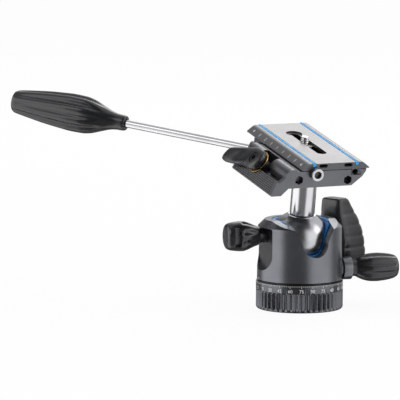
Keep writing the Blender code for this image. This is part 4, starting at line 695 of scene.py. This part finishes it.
def base():
    """Base ring with a fluted grip, a band of degree marks, and its numbers."""
    sides = FLUTE_COUNT * 10

    def ring_at(radius, height, depth):
        points = []
        for n in range(sides):
            angle = 2 * math.pi * n / sides
            wave = (0.5 + 0.5 * math.cos(FLUTE_COUNT * angle)) ** FLUTE_POWER
            points.append(polar(radius - depth * wave, angle, height))
        return points

    radius, top = RING_RADIUS, RING_HEIGHT
    rings = [ring_at(*station) for station in (
        (BASE_BORE, 0, 0), (0.0280, 0, 0), (0.0290, 0.0001, 0),
        (0.0297, 0.0007, 0), (radius, 0.0016, 0.0006), (radius, 0.0026, FLUTE_DEPTH),
        (radius, 0.0120, FLUTE_DEPTH), (radius, 0.0130, 0.0010), (radius, SCALE_BAND_BOTTOM, 0),
        (radius, top - 0.0006, 0), (0.0299, top - 0.0002, 0), (0.0296, top, 0),
        (0.0163, top, 0), (0.0160, top + GAP, 0), (0.0160, 0.0286, 0),
        (0.0156, 0.0290, 0))]
    dish = arc((0, BALL_HEIGHT), 0.0216, math.radians(-49), math.radians(-90), 8)
    rings += [ring_at(*spot, 0.0) for spot in dish[1:-1]]
    shape = bmesh.new()
    loops = [[shape.verts.new(point) for point in ring] for ring in rings]
    loops.append([shape.verts.new((0, 0, dish[-1][1]))])
    for near, far in zip(loops, loops[1:]):
        bridge(shape, near, far)
    inner = [shape.verts.new(point) for point in ring_at(BASE_BORE, 0.0120, 0.0)]
    bridge(shape, inner, loops[0])
    shape.faces.new(inner)
    grub_hole = rod_mesh(0.0021, (0, 0.0320, 0.0065), (0, 0.0222, 0.0065), 32)
    put("base_grip", worked(to_mesh(shape), [grub_hole]), Matrix(), "base", "gunmetal", ["base_ring"],
        GRIP_GREY)

    outer = RING_RADIUS + MARK_LIFT
    marks = [row(count, size, (outer, 0, height), turn_step=(0, 0, 2 * math.pi / count))
             for count, size, height in ((144, (0.00010, 0.00020, 0.0010), 0.0186),
                                         (NUMBER_COUNT, (0.00012, 0.00024, 0.0019), 0.01815))]
    painted("degree_marks", marks, "base")
    numbers = []
    for n in range(NUMBER_COUNT):
        degrees = NUMBER_PITCH * n % 180
        text = digits(str(min(degrees, 180 - degrees)), 0.0023)
        numbers.append(wrapped(text, RING_RADIUS + 2 * MARK_LIFT,
                               math.radians(NUMBER_PITCH * n - 180), 0.0151))
    painted("degree_numbers", numbers, "base")


# ---- housing, ball and post

NOTCH_RADIUS = 0.0095
NOTCH_SHOULDER_WIDTH = 0.0154
NOTCH_SHOULDER_RISE = 0.0095
NOTCH_TOP = 0.0638
RIM_SLOPE_START = 0.0062
RIM_SLOPE_RUN = 0.0186
RIM_SLOPE_FALL = 0.0047
OUTSIDE = 0.0320
LINER_TOP, LINER_BOTTOM = 0.0615, 0.0379
LINER_INSET = 0.0005
LINER_NARROWING = 0.0013


def notch_outline(inset, narrowing=0.0):
    """The drop notch seen from the front; narrowing draws its mouth in."""
    radius = NOTCH_RADIUS - inset
    slope = (NOTCH_SHOULDER_WIDTH - NOTCH_RADIUS) / NOTCH_SHOULDER_RISE
    rise = NOTCH_TOP - BALL_HEIGHT
    mouth = radius + slope * rise - narrowing
    flare = [(radius + (mouth - radius) * share ** 1.25, BALL_HEIGHT + rise * share)
             for share in (step / 8 for step in range(1, 9))]
    bottom = arc((0, BALL_HEIGHT), radius, -math.pi, 0, 40)
    return bottom + flare + [(-x, z) for x, z in reversed(flare)]


def rim_slope(inset):
    """A cutter for the rim's front, which falls towards the notch."""
    height, reach = HOUSING_TOP + inset, HOUSING_RADIUS + OVERRUN
    fall = (reach - RIM_SLOPE_START) * RIM_SLOPE_FALL / RIM_SLOPE_RUN
    outline = [(RIM_SLOPE_START, height), (reach, height - fall), (reach, height + OVERRUN),
               (RIM_SLOPE_START, height + OVERRUN)]
    return prism_mesh(outline, -reach, reach, NOTCH_TURN - math.pi / 2)


def housing():
    """Turned body with its drop notch and knob pocket, and the liner inside."""
    outline = [
        (0.0243, HOUSING_TOP), (0.0290, 0.0571), (HOUSING_RADIUS, 0.0206),
        (0.0290, HOUSING_BOTTOM), (0.0163, HOUSING_BOTTOM), (0.0163, 0.0224),
        (0.0184, 0.0224), (0.0184, 0.0295), (0.0214, 0.0295), (0.0214, 0.0598),
        (0.0195, 0.0598), (0.0195, HOUSING_TOP)]
    notch = prism_mesh(notch_outline(0), -0.0330, 0, NOTCH_TURN)
    corner, half, low, high = 0.0120, 0.0159, 0.0274, 0.0566
    bowl = (arc((-half + corner, low + corner), corner, math.pi, 1.5 * math.pi, 14)
            + arc((half - corner, low + corner), corner, 1.5 * math.pi, 2 * math.pi, 14)
            + [(half, high), (-half, high)])
    pocket = prism_mesh(bowl, 0.0247, OUTSIDE, math.pi / 2)
    holes = [rod_mesh(radius, level(azimuth, start, height).translation,
                      level(azimuth, OUTSIDE, height).translation)
             for radius, start, azimuth, height in (
                 (0.0037, 0.0190, FRICTION_TURN, FRICTION_HEIGHT),
                 (0.0059, 0.0258, PAN_LOCK_TURN, PAN_LOCK_HEIGHT),
                 (0.0027, 0.0165, PAN_LOCK_TURN, PAN_LOCK_HEIGHT),
                 (0.0059, 0.0258, MAIN_LOCK_TURN, MAIN_LOCK_HEIGHT),
                 (0.0031, 0.0190, MAIN_LOCK_TURN, MAIN_LOCK_HEIGHT))]
    body = turned(outline, 180, ring=True)
    shell = worked(body, [notch, rim_slope(0), pocket, *holes], 0.00035, 3, 12)
    put("housing_shell", shell, Matrix(), "housing", "gunmetal", ["housing"], sharp=28)

    seat = BALL_RADIUS + GAP
    inner = arc((0, BALL_HEIGHT), seat, math.asin((LINER_BOTTOM - BALL_HEIGHT) / seat),
                math.asin(0.0125 / seat), 16)
    ring = turned([(0.0192, LINER_TOP), (0.0192, 0.0595), (0.0211, 0.0595), (0.0211, LINER_BOTTOM)]
                  + inner + [(0.0170, LINER_TOP)], 144, ring=True)
    cut = prism_mesh(notch_outline(LINER_INSET, LINER_NARROWING), -0.0240, 0, NOTCH_TURN)
    put("liner_ring", worked(ring, [cut, rim_slope(LINER_INSET)], 0.00020, 2, 40), Matrix(), "housing",
        "blue_plastic", ["ball_liner"])
    mark = row(1, (0.0001, 0.0005, 0.0014), (HOUSING_RADIUS, 0, 0.0214), turn=(0, 0, math.pi))
    painted("index_mark", [mark], "housing")


def ball_and_post():
    """The ball with its collar, and the bright post."""
    neck = 0.0164
    collar = softened([(0.0034, 0.0180), (0.0034, 0.0184), (0.0098, 0.0184), (0.0098, neck)], 0.0005)
    sphere = arc((0, 0), BALL_RADIUS, math.asin(neck / BALL_RADIUS), -math.pi / 2, 40)
    sphere[-1] = (0, -BALL_RADIUS)
    mesh = turned([(0, 0.0016), (0.0034, 0.0016)] + collar[:-1] + sphere, 128)
    put("ball_body", mesh, BALL_PLACE, "ball", "gunmetal", ["ball"], FINISHES["burnished"], sharp=50)
    bottom, top = 0.0187, PLATE_TOP - 0.0170
    tube = turned([(0.0086, top), (0.0086, bottom), (0.0044, bottom), (0.0044, top)], 128, ring=True,
                  soft=0.0005)
    put("post_tube", tube, HEAD, "clamp", "polished_steel", ["post"])


# ---- clamp, plate and screw

ARM_LOW = Vector((-0.0470, 0, PLATE_TOP - 0.0206))
ARM_HIGH = Vector((-0.0430, 0, PLATE_TOP - 0.0112))
GROOVE_COUNT = 7
GROOVE_DEPTH = 0.00052


def clamp():
    """Clamp body, with painted shade as dark strips in its arm's grooves, and the movable jaw."""
    put("clamp_channel", copy_of("clamp_body", 0.00022), Matrix(), "clamp", "clamp_grey",
        ["clamp_body"], sharp=30)
    run = ARM_HIGH - ARM_LOW
    pitch = run.length / (GROOVE_COUNT + 0.4)
    # Dark strips at the bottom of the arm's grooves: painted shade.
    groove_shade = row(GROOVE_COUNT, (0.00010, 0.0600, 0.00080), (GROOVE_DEPTH, -0.0125, 0.7 * pitch),
                 (0, 0, pitch))
    place = HEAD @ Matrix.Translation(ARM_LOW) @ Matrix.Rotation(math.atan2(run.x, run.z), 4, "Y")
    put("arm_groove_shade", groove_shade, place, "clamp", "dark_steel", finish=FINISHES["black_plastic"])
    put("jaw_bar", copy_of("clamp_jaw", 0.00025), Matrix(), "jaw", "clamp_grey", ["clamp_jaw"],
        sharp=30)


# Each row: how far along the lever, sideways shift, half width, underside, top
LEVER_STATIONS = (
    (-0.0079, 0, 0.0020, 0.0010, 0.0044), (-0.0070, 0, 0.0042, 0.0003, 0.0053),
    (-0.0053, 0, 0.0062, 0.0003, 0.0057), (-0.0026, 0, 0.0077, 0.0003, 0.0058),
    (0.0008, 0, 0.0081, 0.0003, 0.0058), (0.0050, -0.0003, 0.0080, 0.0004, 0.0058),
    (0.0100, -0.0012, 0.0076, 0.0005, 0.0055), (0.0170, -0.0035, 0.0071, 0.0008, 0.0050),
    (0.0240, -0.0056, 0.0067, 0.0010, 0.0047), (0.0310, -0.0074, 0.0062, 0.0010, 0.0047),
    (0.0356, -0.0083, 0.0051, 0.0014, 0.0046), (0.0375, -0.0086, 0.0032, 0.0022, 0.0040))
LEVER_TOP = 0.0058


def lever():
    """The lever with its thumb dish, its screw and the brass washer."""
    section = rounded(48, 2.8)
    rings = []
    for reach, shift, half, low, high in eased(LEVER_STATIONS, 5):
        middle = (low + high) / 2
        thick = (high - low) / 2
        ring = []
        for u, v in section:
            dish = 0.0007 * math.exp(-((reach - 0.0190) / 0.0075) ** 2) * max(0.0, v) * (1 - u * u)
            ring.append((shift + half * u, reach, middle + thick * v - dish))
        rings.append(ring)
    recess = rod_mesh(0.0039, (0, 0, LEVER_TOP - 0.0023), (0, 0, LEVER_TOP + OVERRUN), 64)
    bore = rod_mesh(0.0025, (0, 0, -OVERRUN), (0, 0, LEVER_TOP), 32)
    put("lever_arm", worked(skinned(rings), [recess, bore], 0.00025, 3, 40), LEVER_PLACE, "lever",
        "black_plastic", ["clamp_lever"], sharp=40)
    head_top = LEVER_TOP - GAP
    head_bottom = head_top - 0.0017
    screw = turned([(0, head_top), (0.0036, head_top), (0.0036, head_bottom), (0.0022, head_bottom),
                    (0.0022, -0.0066), (0, -0.0066)], 64, soft=0.0003)
    hexagon = rod_mesh(0.0019, (0, 0, head_top - 0.0012), (0, 0, head_top + OVERRUN), 6)
    put("lever_bolt", worked(screw, [hexagon]), LEVER_PLACE, "clamp", "dark_steel", ["lever_screw"])
    washer = turned([(0.0082, 0), (0.0082, -0.0006), (0.0025, -0.0006), (0.0025, 0)], 96, ring=True,
                    soft=0.00012)
    put("brass_washer", washer, LEVER_PLACE, "clamp", "brass", ["lever_washer"])


PLATE_END = -0.0470
RAIL_HOLE_OFFSET = 0.0147
RAIL_HOLE_HEIGHT = PLATE_TOP - 0.0069
SHOULDER_SLOPE = math.atan2(0.0032, 0.0040)


def plate():
    """The sliding plate with its dark left edge, a painted highlight line along it, and its centimetre
    scale.
    """
    rail_hole = rod_mesh(0.0021, (RAIL_HOLE_OFFSET, PLATE_END - 0.0030, RAIL_HOLE_HEIGHT),
                         (RAIL_HOLE_OFFSET, PLATE_END + 0.0070, RAIL_HOLE_HEIGHT), 40)
    rail_hole.transform(HEAD)
    mesh = worked(copy_of("plate", 0.00022), [rail_hole])
    mesh.materials.clear()
    mesh.materials.append(FINISHES["plate_grey"])
    mesh.materials.append(SIDE_GREY)
    back = HEAD.inverted()
    for face in mesh.polygons:
        spot = back @ face.center
        normal = (back.to_3x3() @ face.normal).normalized()
        flat_top = normal.z > 0.5 and spot.z > PLATE_TOP - 0.0045
        # A painted highlight: the thin face along the plate's lower left edge keeps the light finish.
        painted_edge_highlight = spot.x < -0.0245 and abs(normal.z) < 0.6
        if not (flat_top or painted_edge_highlight):
            face.material_index = 1
    put("top_plate", mesh, Matrix(), "plate", "plate_grey", ["plate"], finish=False, sharp=30)

    edge = (HEAD @ Matrix.Translation((-0.0230, 0, PLATE_TOP - 0.0024))
            @ Matrix.Rotation(-SHOULDER_SLOPE, 4, "Y") @ Matrix.Rotation(-math.pi / 2, 4, "Z"))
    marks = []
    for n in (-4, -3, -2, -1, 1, 2, 3, 4):
        text = digits(str(abs(n)), 0.0025, 0.00010)
        text.transform(Matrix.Translation((-0.010 * n, 0.0001, 0)))
        marks.append(text)
    marks.append(row(1, (0.0004, 0.0024, 0.00008), (0, 0.0001, 0)))
    painted("plate_scale", marks, "plate", edge)


THREAD_PITCH = 0.00127
THREAD_RADIUS = 0.00305
THREAD_DEPTH = 0.00050
THREAD_SIDES = 48
THREAD_RINGS_PER_TURN = 12


def camera_screw():
    """The camera's screw with its thread and coin slot."""
    tip, bottom = PLATE_TOP + 0.0030, PLATE_TOP - 0.0030
    rings = []
    count = int((tip - bottom) / THREAD_PITCH * THREAD_RINGS_PER_TURN)
    for k in range(count + 1):
        height = bottom + (tip - bottom) * k / count
        ring = []
        for n in range(THREAD_SIDES):
            angle = 2 * math.pi * n / THREAD_SIDES
            phase = (height / THREAD_PITCH - n / THREAD_SIDES) % 1.0
            groove = THREAD_DEPTH * (1 - abs(2 * phase - 1))
            nose = max(0.0, height - (tip - 0.0007))
            ring.append(polar(THREAD_RADIUS - max(groove, nose), angle, height))
        rings.append(ring)
    head_top, head_bottom = PLATE_TOP - 0.0033, PLATE_TOP - 0.0044
    head = turned([(0, head_top), (0.0069, head_top), (0.0069, head_bottom), (0, head_bottom)], 72,
                  soft=0.0002)
    coin = block_mesh((-0.0090, -0.0007, head_top - 0.0030), (0.0090, 0.0007, head_top - 0.0005))
    put("camera_bolt", merged([skinned(rings), worked(head, [coin])]),
        HEAD @ Matrix.Translation((0, 0.0055, 0)), "camera_screw", "plain_steel", ["camera_screw"])


def end_stop():
    """The bright bush in the plate's left rail, with a dark disc in its bore as painted shade."""
    bush = turned([(0, 0.0070), (0.0012, 0.0070), (0.0012, -GAP), (0.0043, -GAP), (0.0043, -0.0042),
                   (0.0025, -0.0042), (0.0025, -0.0006), (0, -0.0006)], 96, soft=0.0004)
    place = (HEAD @ Matrix.Translation((-RAIL_HOLE_OFFSET, PLATE_END, RAIL_HOLE_HEIGHT))
             @ Matrix.Rotation(-math.pi / 2, 4, "X"))
    put("end_stop", bush, place, "plate", "plain_steel", ["stop_bush"])
    # A dark disc inside the bush's bore: painted shade.
    floor = turned([(0, -0.0011), (0.0024, -0.0011), (0.0024, -0.0019), (0, -0.0019)], 48, soft=0.0001)
    put("stop_bore_shade", floor, place, "plate", "dark_steel", finish=FINISHES["black_plastic"])


# ---- handle

# Each row: how far along the grip, its radius, the depth of its flutes
GRIP_STATIONS = (
    (0, 0.0050, 0), (0.0016, 0.0054, 0), (0.0060, 0.0056, 0),
    (0.0115, 0.0066, 0), (0.0163, 0.0083, 0.0001), (0.0211, 0.0102, 0.0006),
    (0.0269, 0.0122, 0.0014), (0.0326, 0.0132, 0.0018), (0.0413, 0.0134, 0.0019),
    (0.0518, 0.0127, 0.0018), (0.0614, 0.0118, 0.0016), (0.0710, 0.0105, 0.0013),
    (0.0797, 0.0092, 0.0008), (0.0850, 0.0082, 0.0002), (0.0869, 0.0072, 0))
GRIP_LENGTH = GRIP_STATIONS[-1][0]


def handle():
    """Bright tube, fluted rubber grip and its cap."""
    end = TUBE_START + TUBE_LENGTH
    tube = turned([(0, end), (0.00278, end), (0.00278, TUBE_START), (0.0021, TUBE_START),
                   (0.0021, -0.0080), (0, -0.0080)], 64)
    put("bright_tube", tube, handle_place(0), "handle", "polished_steel", ["handle_tube"],
        finish=FINISHES["handle_steel"])
    grip = fluted(GRIP_STATIONS, 9, 24, 6, 1.5)
    bore = rod_mesh(0.0031, (0, 0, -OVERRUN), (0, 0, 0.0143), 48)
    seat = rod_mesh(0.0055, (0, 0, GRIP_LENGTH - 0.0033), (0, 0, GRIP_LENGTH + 0.0021), 64)
    put("rubber_grip", worked(grip, [bore, seat], 0.0003, 2, 50), handle_place(GRIP_START), "handle",
        "black_rubber", ["handle_grip"], sharp=50)
    cap = turned([(0, 0.0010), (0.0031, 0.0008), (0.0052, 0), (0.0052, -0.0030), (0, -0.0030)], 64,
                 soft=0.0004)
    put("grip_end", cap, handle_place(GRIP_START + GRIP_LENGTH), "handle", "black_plastic",
        ["grip_cap"])


# ---- locks

def friction_knob():
    """The knob in the housing's pocket, with a window through its head."""
    knob = fluted((
        (0, 0.0050, 0), (0.0049, 0.0050, 0), (0.0053, 0.0062, 0),
        (0.0080, 0.0074, 0.0003), (0.0110, 0.0087, 0.0007), (0.0140, 0.0099, 0.0009),
        (0.0163, 0.0104, 0.0009), (0.0184, 0.0104, 0.0003), (0.0196, 0.0103, 0),
        (0.0240, 0.0098, 0), (0.0266, 0.0092, 0), (0.0281, 0.0082, 0),
        (0.0287, 0.0066, 0)), 8, 20, 5, 1.4)
    window = block_mesh((-0.0068, -0.0205, 0.0196), (0.0068, 0.0205, 0.0240))
    bore = rod_mesh(0.0028, (0, 0, -OVERRUN), (0, 0, 0.0170), 32)
    put("friction_grip", worked(knob, [window, bore], 0.00035, 3, 45),
        level(FRICTION_TURN, 0.0250, FRICTION_HEIGHT), "friction_knob", "black_plastic",
        ["friction_knob"], sharp=45)


def pan_lock():
    """The boss of the pan lock and its fluted knob."""
    collar = turned([(0.0079, 0.0107), (0.0079, 0.0042), (0.0056, 0.0042), (0.0056, 0),
                     (0.0027, 0), (0.0027, 0.0107)], 96, ring=True, soft=0.0004)
    put("pan_collar", collar, level(PAN_LOCK_TURN, 0.0261, PAN_LOCK_HEIGHT), "housing", "gunmetal",
        ["pan_lock_collar"])
    knob = fluted((
        (0, 0.0058, 0), (0.0028, 0.0059, 0), (0.0060, 0.0074, 0.0002),
        (0.0095, 0.0088, 0.0009), (0.0140, 0.0098, 0.0013), (0.0185, 0.0100, 0.0014),
        (0.0240, 0.0096, 0.0013), (0.0290, 0.0088, 0.0010), (0.0318, 0.0079, 0.0004),
        (0.0334, 0.0064, 0), (0.0340, 0.0042, 0)), 8, 20, 6, 1.4)
    bore = rod_mesh(0.0027, (0, 0, -OVERRUN), (0, 0, 0.0154), 32)
    put("pan_grip", worked(knob, [bore]), level(PAN_LOCK_TURN, 0.0371, PAN_LOCK_HEIGHT),
        "pan_lock_knob", "black_plastic", ["pan_lock_knob"], sharp=45)


# Each row: how far down the paddle, half width, inner face, outer face
PADDLE_STATIONS = (
    (-0.0150, 0.0060, 0.0010, 0.0197), (-0.0130, 0.0085, 0, 0.0229),
    (-0.0060, 0.0102, 0, 0.0257), (0, 0.0106, 0, 0.0260),
    (0.0060, 0.0108, 0, 0.0248), (0.0120, 0.0110, -0.0008, 0.0232),
    (0.0190, 0.0109, -0.0024, 0.0201), (0.0260, 0.0101, -0.0040, 0.0163),
    (0.0330, 0.0090, -0.0042, 0.0112), (0.0374, 0.0084, -0.0038, 0.0082),
    (0.0386, 0.0072, -0.0028, 0.0068))
PADDLE_GROOVES = (-0.0040, 0.0040, 0.0120, 0.0200, 0.0280)


def main_lock():
    """The big paddle, with grooves across its outer face."""
    section = rounded(56, 5.0)
    rings = []
    for rise, half, near, far in eased(PADDLE_STATIONS, 8):
        middle = (near + far) / 2
        thick = (far - near) / 2
        step = max(0.0007 * math.exp(-((rise - groove) / 0.0012) ** 2) for groove in PADDLE_GROOVES)
        ring = []
        for u, v in section:
            sunk = step * max(0.0, v) ** 2
            ring.append((-rise, (half - step * abs(u) * 0.5) * u, middle + thick * v - sunk))
        rings.append(ring)
    bore = rod_mesh(0.0031, (0, 0, -0.006), (0, 0, 0.0080), 32)
    put("main_paddle", worked(skinned(rings), [bore]), level(MAIN_LOCK_TURN, 0.0358, MAIN_LOCK_HEIGHT),
        "main_lock_paddle", "black_plastic", ["main_lock_paddle"], sharp=40)


# ---- studio

# Soft boxes: turn to the right of the camera, inner and outer half width in degrees, strength
SOFT_BOXES = ((-84, 24, 46, 2.8), (62, 20, 46, 2.1))
DARK_ROOM = 0.06
TOP_LIGHT = 1.25
TOP_WAY = Vector((0.593, 0.447, 0.669))
GLOSSY_WHITE = 0.03
AIM = Vector((0, 0, 0.060))
SENSOR_WIDTH = 36.0
FLOOR_WHITE = 0.93
FLOOR_SHEER = 0.75


def camera():
    """Camera at the photograph's angle and scale."""
    azimuth, elevation, roll = math.radians(-18), math.radians(7.5), math.radians(0.5)
    right = Vector(polar(1, azimuth, 0))
    back = Vector((math.sin(azimuth) * math.cos(elevation), -math.cos(azimuth) * math.cos(elevation),
                   math.sin(elevation)))
    up = back.cross(right)
    across = right * math.cos(roll) + up * math.sin(roll)
    upward = up * math.cos(roll) - right * math.sin(roll)
    distance, pixels_per_metre, frame_width = 3.0, 1451.0, 400
    target = AIM - across * (99.95 / pixels_per_metre) + upward * (21.2 / pixels_per_metre)
    place = AIM + back * distance
    view = (place - target).normalized()
    side = upward.cross(view).normalized()
    lens = bpy.data.cameras.new("camera")
    lens.sensor_width = SENSOR_WIDTH
    lens.lens = SENSOR_WIDTH * pixels_per_metre * distance / frame_width
    lens.clip_end = 20.0
    thing = standing("camera", lens)
    turn = Matrix((side, view.cross(side), view)).transposed()
    thing.matrix_world = Matrix.Translation(place) @ turn.to_4x4()
    bpy.context.scene.camera = thing
    bpy.context.scene.view_settings.view_transform = "Standard"


def lamps():
    """Three soft round lamps."""
    for name, spot, size, power in (
            ("key_lamp", (-1.2, -0.6, 1.2), 0.9, 3.6), ("fill_lamp", (1.3, -0.5, 0.8), 0.8, 2.0),
            ("rim_lamp", (0.6, 1.2, 1.0), 0.8, 3.0)):
        lamp = bpy.data.lights.new(name, "AREA")
        lamp.shape = "DISK"
        lamp.size = size
        lamp.energy = power
        thing = standing(name, lamp)
        thing.location = spot
        thing.rotation_euler = (Vector(spot) - AIM).to_track_quat("Z", "Y").to_euler()


def room():
    """A dark room with soft boxes around the object and above it; the camera sees it white."""
    world = bpy.data.worlds.new("studio")
    bpy.context.scene.world = world
    world.use_nodes = True
    tree = world.node_tree
    tree.nodes.clear()
    where = tree.nodes.new("ShaderNodeTexCoord").outputs["Generated"]
    flat = vector_step(tree, "MULTIPLY", where, (1, 1, 0))["Vector"]
    level_way = vector_step(tree, "NORMALIZE", flat)["Vector"]
    low = soft_step(tree, axes(tree, where)["Z"], 0.45, 0.75, 1.0, 0.25)
    overhead = vector_step(tree, "DOT_PRODUCT", where, TOP_WAY)["Value"]
    total = soft_step(tree, overhead, math.cos(math.radians(66)), math.cos(math.radians(30)),
                      DARK_ROOM, TOP_LIGHT)
    for turn, inner, outer, strength in SOFT_BOXES:
        way = polar(1, math.radians(turn - 108), 0)
        facing = vector_step(tree, "DOT_PRODUCT", level_way, way)["Value"]
        glow = soft_step(tree, facing, math.cos(math.radians(outer)), math.cos(math.radians(inner)),
                         0.0, strength)
        total = multiply_add(tree, glow, low, total)
    light = tree.nodes.new("ShaderNodeBackground")
    tree.links.new(total, light.inputs["Strength"])
    seen = tree.nodes.new("ShaderNodeBackground")
    seen.inputs["Color"].default_value = (1, 1, 1, 1)
    paths = tree.nodes.new("ShaderNodeLightPath").outputs
    share = multiply_add(tree, paths["Is Glossy Ray"], GLOSSY_WHITE, paths["Is Camera Ray"])
    out = tree.nodes.new("ShaderNodeOutputWorld")
    tree.links.new(blended(tree, share, light.outputs[0], seen.outputs[0]), out.inputs["Surface"])


def paper_floor():
    """A pale floor that keeps the shadow and is mostly hidden from the object's reflections."""
    shape = bmesh.new()
    bmesh.ops.create_grid(shape, x_segments=1, y_segments=1, size=6.0)
    mesh = as_it_is(shape)
    floor = standing("floor", mesh)
    floor.location.z = -0.0002
    paper = bpy.data.materials.new("paper")
    paper.use_nodes = True
    tree = paper.node_tree
    tree.nodes.clear()
    matte = tree.nodes.new("ShaderNodeBsdfDiffuse")
    matte.inputs["Color"].default_value = (0.88, 0.88, 0.88, 1)
    glow = tree.nodes.new("ShaderNodeEmission")
    glow.inputs["Color"].default_value = (1, 1, 1, 1)
    paths = tree.nodes.new("ShaderNodeLightPath").outputs
    share = spread_value(tree, paths["Is Camera Ray"], 0.0, 1.0, 0.0, FLOOR_WHITE)
    lit = blended(tree, share, matte.outputs[0], glow.outputs[0])
    clear = tree.nodes.new("ShaderNodeBsdfTransparent")
    share = spread_value(tree, paths["Is Glossy Ray"], 0.0, 1.0, 0.0, FLOOR_SHEER)
    out = tree.nodes.new("ShaderNodeOutputMaterial")
    tree.links.new(blended(tree, share, lit, clear.outputs[0]), out.inputs["Surface"])
    mesh.materials.append(paper)


camera()
lamps()
room()
paper_floor()
SLOT_OF = {part["node"]: part["material_slot"] for part in frame["record"]["subparts"]}
for node, thing in frame["nodes"].items():
    thing.data.materials.clear()
    thing.data.materials.append(FINISHES["dark_steel" if node == "pan_washer" else SLOT_OF[node]])
base()
housing()
ball_and_post()
clamp()
lever()
plate()
camera_screw()
end_stop()
handle()
friction_knob()
pan_lock()
main_lock()
